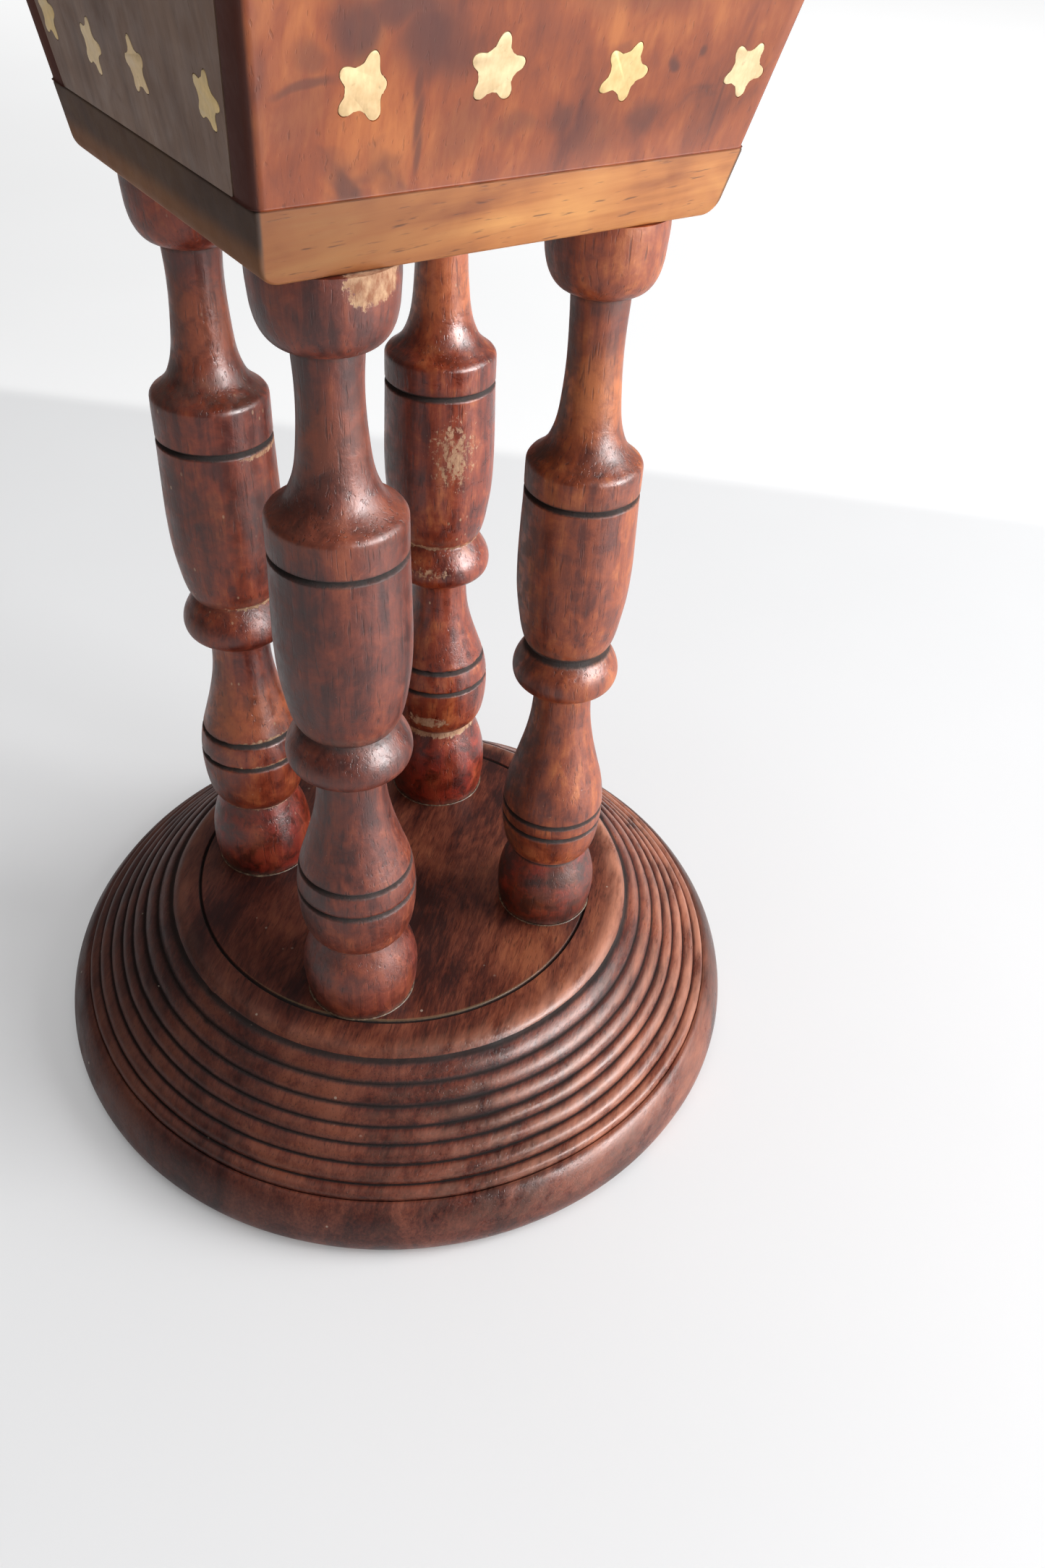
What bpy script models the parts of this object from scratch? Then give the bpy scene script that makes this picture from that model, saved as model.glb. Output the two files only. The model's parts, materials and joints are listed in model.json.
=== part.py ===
"""A small sewing table: a flared wooden workbox with a hinged lid and a lift-out tray,
held up by four turned spindles on a round, ring-turned base.

Lengths are in metres, +Z is up, and the origin is the centre of the base's underside.
The front of the box faces -Y, and the lid is hinged along the back (+Y).
"""

import math

import bmesh
import bpy
from mathutils import Matrix, Vector

GAP = 0.0003  # left between pieces that touch, standing for a glue line
OVERCUT = 0.0100  # how far a cutter stands out of the face that it cuts
SHARP_ANGLE = 35  # degrees, above which an edge is shaded sharp

# Base, a disc turned on its flat underside.
BASE_RADIUS = 0.1250
BASE_HEIGHT = 0.0510
LIP_RADIUS = 0.0823  # edge of the flat top
LIP_ROUND = 0.0022
SCRIBE_RADIUS = 0.0718  # circle cut into the flat top around the spindles' feet
SCRIBE_HALF_WIDTH = 0.0007
SCRIBE_DEPTH = 0.0009
REED_COUNT = 7  # rounded rings stepping down the cone
REED_RISE = 0.0016
FIRST_VALLEY = Vector((0.0840, 0.0478))  # radius, height
LAST_VALLEY = Vector((0.1166, 0.0186))
RIM_HEIGHT = 0.0064  # where the base is widest
FACE_RADIUS = 0.1214  # of the flat underside

# Spindles, and where their feet stand.
SPINDLE_PITCH = 0.0755  # between two neighbouring spindle axes
TENON_RADIUS = 0.0060
LOWER_TENON = 0.0120
UPPER_TENON = 0.0090
FOOT_RADIUS = 0.0180
FOOT_BELLY = 0.0095  # how high above the base the foot is widest
RING_RADIUS = 0.0133  # of the neck between foot and vase
VASE_RADIUS = 0.0178
WAIST_RADIUS = 0.0097  # below the bead
BEAD_BULGE = 0.0054
CUP_RADIUS = 0.0136  # where the barrel rises from the bead
CUP_LIFT = 0.0095  # from the bead's middle to the cup's foot
BARREL_RADIUS = 0.0171
GROOVE_DROP = 0.0110  # from the shoulder down to the burnt groove
GROOVE_DEPTH = 0.0014
NECK_RADIUS = 0.0079
CAP_RADIUS = 0.0160
CAP_HEIGHT = 0.0183

# Hand-turned, so no two are alike. Corner signs, girth, then the heights of the foot's neck,
# of the vase's widest part, of the bead and of the shoulder.
SPINDLES = {
    "spindle_front_left": (-1, -1, 1.04, 0.0795, 0.1000, 0.1535, 0.2290),
    "spindle_front_right": (1, -1, 0.95, 0.0785, 0.0945, 0.1565, 0.2248),
    "spindle_back_right": (1, 1, 1.02, 0.0850, 0.1035, 0.1550, 0.2280),
    "spindle_back_left": (-1, 1, 0.97, 0.0810, 0.1010, 0.1548, 0.2300),
}

# Box. The half sizes are those of its underside, and it widens upwards by the flares.
BOX_BOTTOM = 0.2880
BOX_HEIGHT = 0.0950
BOX_HALF_WIDTH = 0.0584
BOX_HALF_DEPTH = 0.0523
WIDTH_FLARE = 0.1185
DEPTH_FLARE = 0.2864
BOARD_THICKNESS = 0.0152
BOARD_END_ROUND = 0.0045
PANEL_THICKNESS = 0.0090
RIM = BOX_BOTTOM + BOX_HEIGHT
# The panels' thicknesses measured level, since they lean.
FRONT_WALL = PANEL_THICKNESS * math.hypot(1, DEPTH_FLARE)
SIDE_WALL = PANEL_THICKNESS * math.hypot(1, WIDTH_FLARE)

LID_THICKNESS = 0.0120
LID_OVERHANG = 0.0035
LID_EDGE_ROUND = 0.0040

# Star inlays, set by hand: how far along its face each one sits, its height above the box's
# underside, and how many degrees it is turned clockwise.
STAR_RADIUS = 0.0063
STAR_WAIST = 0.0035
STAR_THICKNESS = 0.0015
STAR_BLUNT = 8  # degrees each side of a tip's middle line
STARS = {
    "front": [
        (-0.0397, 0.0350, 12),
        (-0.0121, 0.0361, 5),
        (0.0189, 0.0337, 22),
        (0.0519, 0.0322, 30),
    ],
    "right": [
        (-0.0430, 0.0330, -8),
        (-0.0140, 0.0344, 14),
        (0.0150, 0.0325, 5),
        (0.0450, 0.0338, 24),
    ],
    "back": [
        (-0.0480, 0.0341, 10),
        (-0.0170, 0.0328, -6),
        (0.0150, 0.0346, 17),
        (0.0450, 0.0331, 4),
    ],
    "left": [
        (-0.0440, 0.0305, 6),
        (-0.0171, 0.0289, 15),
        (0.0089, 0.0297, -9),
        (0.0441, 0.0311, 18),
    ],
}
LID_STAR_INSET = 0.0200

# Hinges, let into the back panel's top edge and the lid's underside.
HINGE_SPACING = 0.0800
HINGE_LENGTH = 0.0200
LEAF_DEPTH = 0.0075
LEAF_THICKNESS = 0.0010
KNUCKLE_RADIUS = 0.0020
KNUCKLE_SPAN = 0.0066  # the lid's middle knuckle
BORE_RADIUS = 0.0012
PIN_RADIUS = 0.0009
SCREW_SPACING = 0.0120
SCREW_INSET = 0.0049  # from the hinge's axis
SCREW_HEAD = 0.0015
SCREW_HEAD_DEPTH = 0.0009
SCREW_SHANK = 0.0007
SCREW_LENGTH = 0.0065

# Tray, resting on two cleats inside the box.
CLEAT_BASE = 0.0500  # above the box's underside
CLEAT_SIZE = 0.0060
CLEAT_LENGTH = 0.0700
TRAY_HEIGHT = 0.0340
TRAY_CLEARANCE = 0.0008
TRAY_WALL = 0.0040
TRAY_FLOOR = 0.0030
DIVIDER = 0.0030
DIVIDER_PLACE = -0.0080  # the long divider's centre line
DIVIDER_DROP = 0.0020  # of the long divider's top below the tray's
CROSS_HEIGHT = 0.0220
CROSS_PLACE = 0.0180  # the short dividers' distance from the middle

HINGE_AXIS_Y = BOX_HALF_DEPTH + DEPTH_FLARE * BOX_HEIGHT + GAP
HINGE_AXIS_Z = RIM + GAP / 2

BASE_SIDES = 48
SPINDLE_SIDES = 16
SMALL_SIDES = 10  # knuckles, pins and screws


def clear_scene():
    for obj in list(bpy.data.objects):
        bpy.data.objects.remove(obj)


def material(name, colour, roughness, metallic=0.0):
    made = bpy.data.materials.new(name)
    made.use_nodes = True
    shader = made.node_tree.nodes["Principled BSDF"]
    shader.inputs["Base Color"].default_value = (*colour, 1)
    shader.inputs["Roughness"].default_value = roughness
    shader.inputs["Metallic"].default_value = metallic
    return made


def add_object(name, bm, finish):
    """Turns a bmesh into a named object that is shaded smooth except at its sharp edges."""
    bmesh.ops.recalc_face_normals(bm, faces=bm.faces)
    mesh = bpy.data.meshes.new(name)
    bm.to_mesh(mesh)
    bm.free()
    mesh.shade_smooth()
    mesh.set_sharp_from_angle(angle=math.radians(SHARP_ANGLE))
    obj = bpy.data.objects.new(name, mesh)
    bpy.context.scene.collection.objects.link(obj)
    if finish:
        mesh.materials.append(finish)
    return obj


def as_cutter(obj):
    obj.hide_render = True
    obj.display_type = "WIRE"
    return obj


def cut(target, cutter, operation="DIFFERENCE"):
    modifier = target.modifiers.new(f"{operation.lower()} {cutter.name}", "BOOLEAN")
    modifier.operation = operation
    modifier.object = cutter


# Shapes


def arc(start, end, rise, steps):
    """Points after start and up to end on a circular arc that bows out by rise, to the left of
    the way from start to end. A negative rise bows the other way."""
    start, end = Vector(start), Vector(end)
    chord = end - start
    left = Vector((-chord.y, chord.x)).normalized()
    radius = (chord.length**2 / 4 + rise**2) / (2 * rise)
    centre = (start + end) / 2 + left * (rise - radius)
    turn = 2 * math.asin(max(-1, min(1, chord.length / 2 / radius)))
    first = start - centre
    points = []
    for step in range(1, steps + 1):
        angle = -turn * step / steps
        points.append(centre + Matrix.Rotation(angle, 2) @ first)
    return points


def fillet(before, corner, after, radius, steps):
    """Points of an arc of that radius that rounds off corner."""
    back = (Vector(before) - Vector(corner)).normalized()
    on = (Vector(after) - Vector(corner)).normalized()
    half = back.angle(on) / 2
    reach = radius / math.tan(half)
    centre = Vector(corner) + (back + on).normalized() * (radius / math.sin(half))
    first = Vector(corner) + back * reach - centre
    turn = math.pi - 2 * half
    if back.x * on.y - back.y * on.x > 0:
        turn = -turn
    return [centre + Matrix.Rotation(turn * n / steps, 2) @ first for n in range(steps + 1)]


def turned(name, outline, sides, finish):
    """A solid of revolution about Z. The outline's points are (radius, height), from the top of
    the axis round to its foot."""
    bm = bmesh.new()
    verts = [bm.verts.new((point[0], 0, point[1])) for point in outline]
    edges = [bm.edges.new(pair) for pair in zip(verts, verts[1:])]
    bmesh.ops.spin(
        bm,
        geom=verts + edges,
        cent=(0, 0, 0),
        axis=(0, 0, 1),
        angle=math.tau,
        steps=sides,
        use_merge=True,
    )
    bmesh.ops.remove_doubles(bm, verts=bm.verts, dist=0.00001)
    return add_object(name, bm, finish)


def prism(name, outline, low, high, finish=None):
    """The outline, in X and Y, extruded along Z from low to high."""
    bm = bmesh.new()
    face = bm.faces.new([bm.verts.new((point[0], point[1], low)) for point in outline])
    raised = bmesh.ops.extrude_face_region(bm, geom=[face])["geom"]
    tops = [item for item in raised if isinstance(item, bmesh.types.BMVert)]
    bmesh.ops.translate(bm, verts=tops, vec=(0, 0, high - low))
    return add_object(name, bm, finish)


def rod(name, radius, start, end, sides, finish=None):
    """A plain cylinder between two points."""
    start, end = Vector(start), Vector(end)
    turn = (end - start).to_track_quat("Z", "Y").to_matrix().to_4x4()
    bm = bmesh.new()
    bmesh.ops.create_cone(
        bm,
        cap_ends=True,
        segments=sides,
        radius1=radius,
        radius2=radius,
        depth=(end - start).length,
        matrix=Matrix.Translation((start + end) / 2) @ turn,
    )
    return add_object(name, bm, finish)


def block(name, low, high, finish=None):
    """A straight block between two corners."""
    outline = [(low[0], low[1]), (high[0], low[1]), (high[0], high[1]), (low[0], high[1])]
    return prism(name, outline, low[2], high[2], finish)


def half_width(height, inset=0.0):
    """Half the box's outer width at that height above its underside, less an inset."""
    return BOX_HALF_WIDTH + WIDTH_FLARE * height - inset


def half_depth(height, inset=0.0):
    return BOX_HALF_DEPTH + DEPTH_FLARE * height - inset


def flared(name, low, high, sides, finish):
    """A board between two heights above the box's underside. sides(height) gives its least and
    greatest x and y there, which lets its faces lean with the box."""
    bm = bmesh.new()
    rings = []
    for height in (low, high):
        x0, x1, y0, y1 = sides(height)
        corners = [(x0, y0), (x1, y0), (x1, y1), (x0, y1)]
        rings.append([bm.verts.new((x, y, BOX_BOTTOM + height)) for x, y in corners])
    bm.faces.new(rings[0])
    bm.faces.new(rings[1])
    for here in range(4):
        after = (here + 1) % 4
        bm.faces.new([rings[0][here], rings[0][after], rings[1][after], rings[1][here]])
    return add_object(name, bm, finish)


# Base and spindles


def base_outline():
    """The base's outline, from the middle of the flat top, down over the rings, to the floor."""
    points = [Vector((0, BASE_HEIGHT))]
    points.append(Vector((SCRIBE_RADIUS - SCRIBE_HALF_WIDTH, BASE_HEIGHT)))
    points.append(Vector((SCRIBE_RADIUS, BASE_HEIGHT - SCRIBE_DEPTH)))
    points.append(Vector((SCRIBE_RADIUS + SCRIBE_HALF_WIDTH, BASE_HEIGHT)))
    points.append(Vector((LIP_RADIUS - LIP_ROUND, BASE_HEIGHT)))
    points += arc(points[-1], FIRST_VALLEY, 0.0012, 3)
    for reed in range(REED_COUNT):
        start = FIRST_VALLEY.lerp(LAST_VALLEY, reed / REED_COUNT)
        end = FIRST_VALLEY.lerp(LAST_VALLEY, (reed + 1) / REED_COUNT)
        points += arc(start, end, REED_RISE, 3)
    crest = LAST_VALLEY + Vector((0.0006, 0.0010))
    widest = Vector((BASE_RADIUS, RIM_HEIGHT))
    points.append(crest)
    points += arc(crest, widest, 0.0021, 4)
    points += arc(widest, (FACE_RADIUS, 0), 0.0012, 2)
    points.append(Vector((0, 0)))
    return points


def spindle_outline(girth, foot_neck, vase, bead, shoulder):
    """One spindle's outline from the top of its upper tenon to the foot of its lower one."""
    foot = BASE_HEIGHT + GAP
    top = BOX_BOTTOM - GAP
    tenon_top = top + UPPER_TENON
    tenon_foot = foot - LOWER_TENON
    cap_neck = BOX_BOTTOM - CAP_HEIGHT
    groove = shoulder - GROOVE_DROP

    def at(radius, height):
        return Vector((radius * girth, height))

    # The upper tenon, the cap under the box and the thin neck.
    points = [Vector((0, tenon_top)), Vector((TENON_RADIUS, tenon_top))]
    points += [Vector((TENON_RADIUS, top)), at(CAP_RADIUS - GAP, top)]
    points.append(at(CAP_RADIUS, top - 0.0080))
    points += arc(points[-1], at(NECK_RADIUS, cap_neck), 0.0026, 3)
    points.append(at(NECK_RADIUS, cap_neck - 0.0080))
    points += arc(points[-1], at(0.0112, shoulder + 0.0035), -0.0010, 3)

    # The barrel, from its shoulder over the burnt groove to the cup at its foot.
    points.append(at(BARREL_RADIUS - 0.0024, shoulder))
    points += arc(points[-1], at(BARREL_RADIUS, shoulder - 0.0050), 0.0010, 2)
    points.append(at(BARREL_RADIUS, groove + 0.0008))
    points.append(at(BARREL_RADIUS - GROOVE_DEPTH, groove))
    points.append(at(BARREL_RADIUS, groove - 0.0008))
    points.append(at(BARREL_RADIUS, groove - 0.0250))
    points += arc(points[-1], at(CUP_RADIUS, bead + CUP_LIFT), 0.0018, 3)

    # The bead, the waist and the vase.
    points += arc(points[-1], at(0.0100, bead - 0.0055), BEAD_BULGE, 4)
    points.append(at(WAIST_RADIUS, bead - 0.0110))
    hip = at(0.0130, vase + 0.0225)
    points += arc(points[-1], hip, -0.0006, 2)
    points += arc(hip, at(VASE_RADIUS, vase), 0.0014, 3)
    points += arc(points[-1], at(RING_RADIUS, foot_neck), 0.0012, 3)

    # The foot and the lower tenon.
    points += arc(points[-1], at(FOOT_RADIUS, foot + FOOT_BELLY), 0.0030, 3)
    points += arc(points[-1], at(0.0168, foot), 0.0004, 2)
    points += [Vector((TENON_RADIUS, foot)), Vector((TENON_RADIUS, tenon_foot))]
    points.append(Vector((0, tenon_foot)))
    return points


def tenon_holes(target, low, high):
    """Bores the four holes that take the spindles' tenons."""
    for name, (side, end, *_) in SPINDLES.items():
        x, y = side * SPINDLE_PITCH / 2, end * SPINDLE_PITCH / 2
        ends = ((x, y, low), (x, y, high))
        hole = rod(f"{target.name}_{name}_hole", TENON_RADIUS + GAP, *ends, SPINDLE_SIDES)
        cut(target, as_cutter(hole))


def build_stand(base_wood, spindle_wood):
    base = turned("base", base_outline(), BASE_SIDES, base_wood)
    tenon_holes(base, BASE_HEIGHT - LOWER_TENON - GAP, BASE_HEIGHT + OVERCUT)
    for name, (side, end, *turning) in SPINDLES.items():
        spindle = turned(name, spindle_outline(*turning), SPINDLE_SIDES, spindle_wood)
        spindle.location = (side * SPINDLE_PITCH / 2, end * SPINDLE_PITCH / 2, 0)


# Box


def bottom_board(finish):
    """The board under the box: its faces lean with the panels above, and its two ends are
    rounded under."""
    bm = bmesh.new()
    top = (half_width(BOARD_THICKNESS), BOARD_THICKNESS)
    corner = (half_width(0), 0)
    right = [Vector(top)] + fillet(top, corner, (0, 0), BOARD_END_ROUND, 5)
    left = [Vector((-point.x, point.y)) for point in reversed(right)]
    ends = []
    for facing in (-1, 1):
        ring = []
        for x, height in right + left:
            ring.append(bm.verts.new((x, facing * half_depth(height), BOX_BOTTOM + height)))
        bm.faces.new(ring)
        ends.append(ring)
    count = len(ends[0])
    for here in range(count):
        after = (here + 1) % count
        bm.faces.new([ends[0][here], ends[0][after], ends[1][after], ends[1][here]])
    board = add_object("bottom_board", bm, finish)
    tenon_holes(board, BOX_BOTTOM - OVERCUT, BOX_BOTTOM + UPPER_TENON + GAP)
    return board


def build_panels(finish):
    """The four sides. The front and back run the full width, and the ends sit between them."""
    low = BOARD_THICKNESS + GAP

    def front(height):
        wide, deep = half_width(height), half_depth(height)
        return -wide, wide, -deep, -deep + FRONT_WALL

    def back(height):
        wide, deep = half_width(height), half_depth(height)
        return -wide, wide, deep - FRONT_WALL, deep

    def left(height):
        wide, deep = half_width(height), half_depth(height, FRONT_WALL + GAP)
        return -wide, -wide + SIDE_WALL, -deep, deep

    def right(height):
        wide, deep = half_width(height), half_depth(height, FRONT_WALL + GAP)
        return wide - SIDE_WALL, wide, -deep, deep

    sides = {"front": front, "back": back, "left": left, "right": right}
    return {
        name: flared(f"{name}_panel", low, BOX_HEIGHT, shape, finish)
        for name, shape in sides.items()
    }


def face_matrix(name, along, height):
    """Places a flat piece on one of the box's leaning faces: local Y runs up the face and local
    Z points out of it."""
    facing = {"front": (0, -1), "right": (1, 0), "back": (0, 1), "left": (-1, 0)}[name]
    out = Vector((*facing, 0))
    side = Vector((-facing[1], facing[0], 0))
    flare, reach = WIDTH_FLARE, half_width(height)
    if facing[1]:
        flare, reach = DEPTH_FLARE, half_depth(height)
    up = (Vector((0, 0, 1)) + out * flare).normalized()
    normal = side.cross(up)
    place = out * reach + side * along + Vector((0, 0, BOX_BOTTOM + height))
    return Matrix.Translation(place) @ Matrix((side, up, normal)).transposed().to_4x4()


def star_outline(grow, turn):
    """A five-pointed star with blunted tips, turned clockwise by turn degrees."""
    corners = ((-STAR_BLUNT, STAR_RADIUS), (STAR_BLUNT, STAR_RADIUS), (36, STAR_WAIST))
    points = []
    for tip in range(5):
        for offset, radius in corners:
            angle = math.radians(90 - turn + 72 * tip + offset)
            reach = radius + grow
            points.append((reach * math.cos(angle), reach * math.sin(angle)))
    return points


def inlay(name, target, place, turn, finish):
    """Sets a star flush into the face at place, in a pocket cut to fit it."""
    star = prism(name, star_outline(0, turn), -STAR_THICKNESS, 0, finish)
    star.matrix_world = place
    grown = star_outline(1.5 * GAP, turn)
    pocket = prism(f"{name}_pocket", grown, -STAR_THICKNESS - GAP, STAR_THICKNESS)
    pocket.matrix_world = place
    cut(target, as_cutter(pocket))


def build_stars(panels, lid, brass):
    for face, stars in STARS.items():
        for number, (along, height, turn) in enumerate(stars, start=1):
            place = face_matrix(face, along, height)
            inlay(f"star_{face}_{number}", panels[face], place, turn, brass)
    x = half_width(BOX_HEIGHT) - LID_STAR_INSET
    y = half_depth(BOX_HEIGHT) - LID_STAR_INSET
    top = RIM + GAP + LID_THICKNESS
    corners = [(-x, -y), (x, -y), (x, y), (-x, y)]
    for number, corner in enumerate(corners, start=1):
        place = Matrix.Translation((*corner, top))
        inlay(f"star_lid_{number}", lid, place, 10 * number, brass)


def build_lid(finish):
    x = half_width(BOX_HEIGHT) + LID_OVERHANG
    y = half_depth(BOX_HEIGHT) + LID_OVERHANG
    low = RIM + GAP
    lid = block("lid_board", (-x, -y, low), (x, y, low + LID_THICKNESS), finish)
    bevel = lid.modifiers.new("rounded top edge", "BEVEL")
    bevel.width = LID_EDGE_ROUND
    bevel.segments = 3
    bevel.limit_method = "WEIGHT"
    weights = lid.data.attributes.new("bevel_weight_edge", "FLOAT", "EDGE")
    for edge in lid.data.edges:
        heights = [lid.data.vertices[corner].co.z for corner in edge.vertices]
        weights.data[edge.index].value = 1.0 if min(heights) > low + GAP else 0.0
    return lid


# Hinges


def leaf(name, middle, facing, knuckles, brass):
    """One hinge leaf: a plate whose tabs run into its knuckles. middle is the hinge's centre on
    X, and facing is -1 for the box's leaf, below the joint, and 1 for the lid's, above it."""
    edge = HINGE_AXIS_Y - KNUCKLE_RADIUS - GAP
    far = HINGE_AXIS_Y - LEAF_DEPTH
    half = HINGE_LENGTH / 2
    outline = [(middle - half, far), (middle + half, far), (middle + half, edge)]
    for low, high in reversed(knuckles):
        outline += [(middle + high, edge), (middle + high, HINGE_AXIS_Y)]
        outline += [(middle + low, HINGE_AXIS_Y), (middle + low, edge)]
    outline.append((middle - half, edge))
    corners = []
    for point in outline:
        if not corners or point != corners[-1]:
            corners.append(point)
    near = HINGE_AXIS_Z + facing * GAP / 2
    away = near + facing * LEAF_THICKNESS
    plate = prism(name, corners, min(near, away), max(near, away), brass)
    for number, (low, high) in enumerate(knuckles):
        ends = [(middle + x, HINGE_AXIS_Y, HINGE_AXIS_Z) for x in (low, high)]
        knuckle = rod(f"{name}_knuckle_{number}", KNUCKLE_RADIUS, *ends, SMALL_SIDES)
        cut(plate, as_cutter(knuckle), "UNION")
    bore = half + OVERCUT
    ends = [(middle + x, HINGE_AXIS_Y, HINGE_AXIS_Z) for x in (-bore, bore)]
    cut(plate, as_cutter(rod(f"{name}_bore", BORE_RADIUS, *ends, SMALL_SIDES)))
    return plate


def mortise(name, middle, facing):
    """The recess for a leaf, and the deeper one for the knuckles, as two cutters."""
    half = HINGE_LENGTH / 2 + GAP
    near = HINGE_AXIS_Z - facing * LEAF_THICKNESS
    cutters = []
    depths = ((LEAF_DEPTH, LEAF_THICKNESS), (KNUCKLE_RADIUS, KNUCKLE_RADIUS))
    for part, (reach, depth) in zip(("leaf", "knuckle"), depths):
        away = HINGE_AXIS_Z + facing * (depth + 1.5 * GAP)
        low = (middle - half, HINGE_AXIS_Y - reach - GAP, min(near, away))
        high = (middle + half, HINGE_AXIS_Y + OVERCUT, max(near, away))
        cutters.append(as_cutter(block(f"{name}_{part}_recess", low, high)))
    return cutters


def screw_outline(grow):
    """A countersunk screw, head up, with its face at height 0. A grown one also reaches above
    its face, to cut the screw's hole."""
    above = SCREW_HEAD_DEPTH if grow else 0
    return [
        (0, above),
        (SCREW_HEAD + grow, above),
        (SCREW_HEAD + grow, -0.0001),
        (SCREW_SHANK + grow, -SCREW_HEAD_DEPTH),
        (SCREW_SHANK + grow, -SCREW_LENGTH + SCREW_SHANK),
        (0, -SCREW_LENGTH - grow),
    ]


def build_hinge(side, back_panel, lid, brass):
    """One butt hinge: the box's leaf carries the pin and the outer knuckles, and the lid's leaf
    the middle one."""
    middle = HINGE_SPACING / 2 * (-1 if side == "left" else 1)
    half, inner = HINGE_LENGTH / 2, KNUCKLE_SPAN / 2
    outer_knuckles = [(-half, -inner - GAP), (inner + GAP, half)]
    parts = (
        ("box", -1, outer_knuckles, back_panel),
        ("lid", 1, [(-inner, inner)], lid),
    )
    for owner, facing, knuckles, board in parts:
        plate = leaf(f"hinge_{side}_{owner}_leaf", middle, facing, knuckles, brass)
        for recess in mortise(plate.name, middle, facing):
            cut(board, recess)
        for number, offset in enumerate((-SCREW_SPACING / 2, SCREW_SPACING / 2), start=1):
            place = Matrix.Translation(
                (middle + offset, HINGE_AXIS_Y - SCREW_INSET, HINGE_AXIS_Z + facing * GAP / 2)
            )
            if facing > 0:
                place = place @ Matrix.Rotation(math.pi, 4, "X")
            name = f"screw_{side}_{owner}_{number}"
            turned(name, screw_outline(0), SMALL_SIDES, brass).matrix_world = place
            hole = turned(f"{name}_hole", screw_outline(GAP), SMALL_SIDES, None)
            hole.matrix_world = place
            as_cutter(hole)
            cut(plate, hole)
            cut(board, hole)
    ends = [(middle + x, HINGE_AXIS_Y, HINGE_AXIS_Z) for x in (-half, half)]
    rod(f"hinge_{side}_pin", PIN_RADIUS, *ends, SMALL_SIDES, brass)


# Tray


def build_tray(tray_wood):
    """Two cleats, and on them a tray whose walls lean with the box's."""
    cleat_top = CLEAT_BASE + CLEAT_SIZE
    for name, side in (("left", -1), ("right", 1)):

        def cleat(height, side=side):
            wall = half_width(height, SIDE_WALL + GAP)
            x = sorted((side * wall, side * (wall - CLEAT_SIZE)))
            return *x, -CLEAT_LENGTH / 2, CLEAT_LENGTH / 2

        flared(f"tray_cleat_{name}", CLEAT_BASE, cleat_top, cleat, tray_wood)

    floor = cleat_top + GAP
    walls = floor + TRAY_FLOOR + GAP
    top = floor + TRAY_HEIGHT

    def wide(height, inset=0.0):
        return half_width(height, SIDE_WALL + TRAY_CLEARANCE + inset)

    def deep(height, inset=0.0):
        return half_depth(height, FRONT_WALL + TRAY_CLEARANCE + inset)

    def outer(height):
        return -wide(height), wide(height), -deep(height), deep(height)

    def front(height):
        return -wide(height), wide(height), -deep(height), -deep(height, TRAY_WALL)

    def back(height):
        return -wide(height), wide(height), deep(height, TRAY_WALL), deep(height)

    def left(height):
        y = deep(height, TRAY_WALL + GAP)
        return -wide(height), -wide(height, TRAY_WALL), -y, y

    def right(height):
        y = deep(height, TRAY_WALL + GAP)
        return wide(height, TRAY_WALL), wide(height), -y, y

    def long_divider(height):
        x = wide(height, TRAY_WALL + GAP)
        return -x, x, DIVIDER_PLACE - DIVIDER / 2, DIVIDER_PLACE + DIVIDER / 2

    flared("tray_floor", floor, floor + TRAY_FLOOR, outer, tray_wood)
    sides = {"front": front, "back": back, "left": left, "right": right}
    for name, shape in sides.items():
        flared(f"tray_{name}", walls, top, shape, tray_wood)
    flared("tray_divider_long", walls, top - DIVIDER_DROP, long_divider, tray_wood)
    for name, side in (("left", -1), ("right", 1)):

        def short_divider(height, side=side):
            middle = side * CROSS_PLACE
            start = DIVIDER_PLACE + DIVIDER / 2 + GAP
            end = deep(height, TRAY_WALL + GAP)
            return middle - DIVIDER / 2, middle + DIVIDER / 2, start, end

        flared(f"tray_divider_{name}", walls, walls + CROSS_HEIGHT, short_divider, tray_wood)


def main():
    clear_scene()
    base_wood = material("base_wood", (0.13, 0.045, 0.022), 0.42)
    spindle_wood = material("spindle_wood", (0.17, 0.040, 0.018), 0.30)
    board_wood = material("board_wood", (0.42, 0.17, 0.055), 0.45)
    panel_wood = material("panel_wood", (0.28, 0.080, 0.028), 0.40)
    lid_wood = material("lid_wood", (0.27, 0.080, 0.030), 0.38)
    tray_wood = material("tray_wood", (0.36, 0.16, 0.065), 0.55)
    brass = material("brass", (0.72, 0.58, 0.30), 0.35, 1.0)

    build_stand(base_wood, spindle_wood)
    bottom_board(board_wood)
    panels = build_panels(panel_wood)
    lid = build_lid(lid_wood)
    build_stars(panels, lid, brass)
    for side in ("left", "right"):
        build_hinge(side, panels["back"], lid, brass)
    build_tray(tray_wood)


main()
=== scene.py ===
"""Looks of the sewing table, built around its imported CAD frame. Lengths are in metres."""

import json
import math

import bmesh
import bpy
import numpy as np
from mathutils import Matrix, Vector, noise


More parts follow.
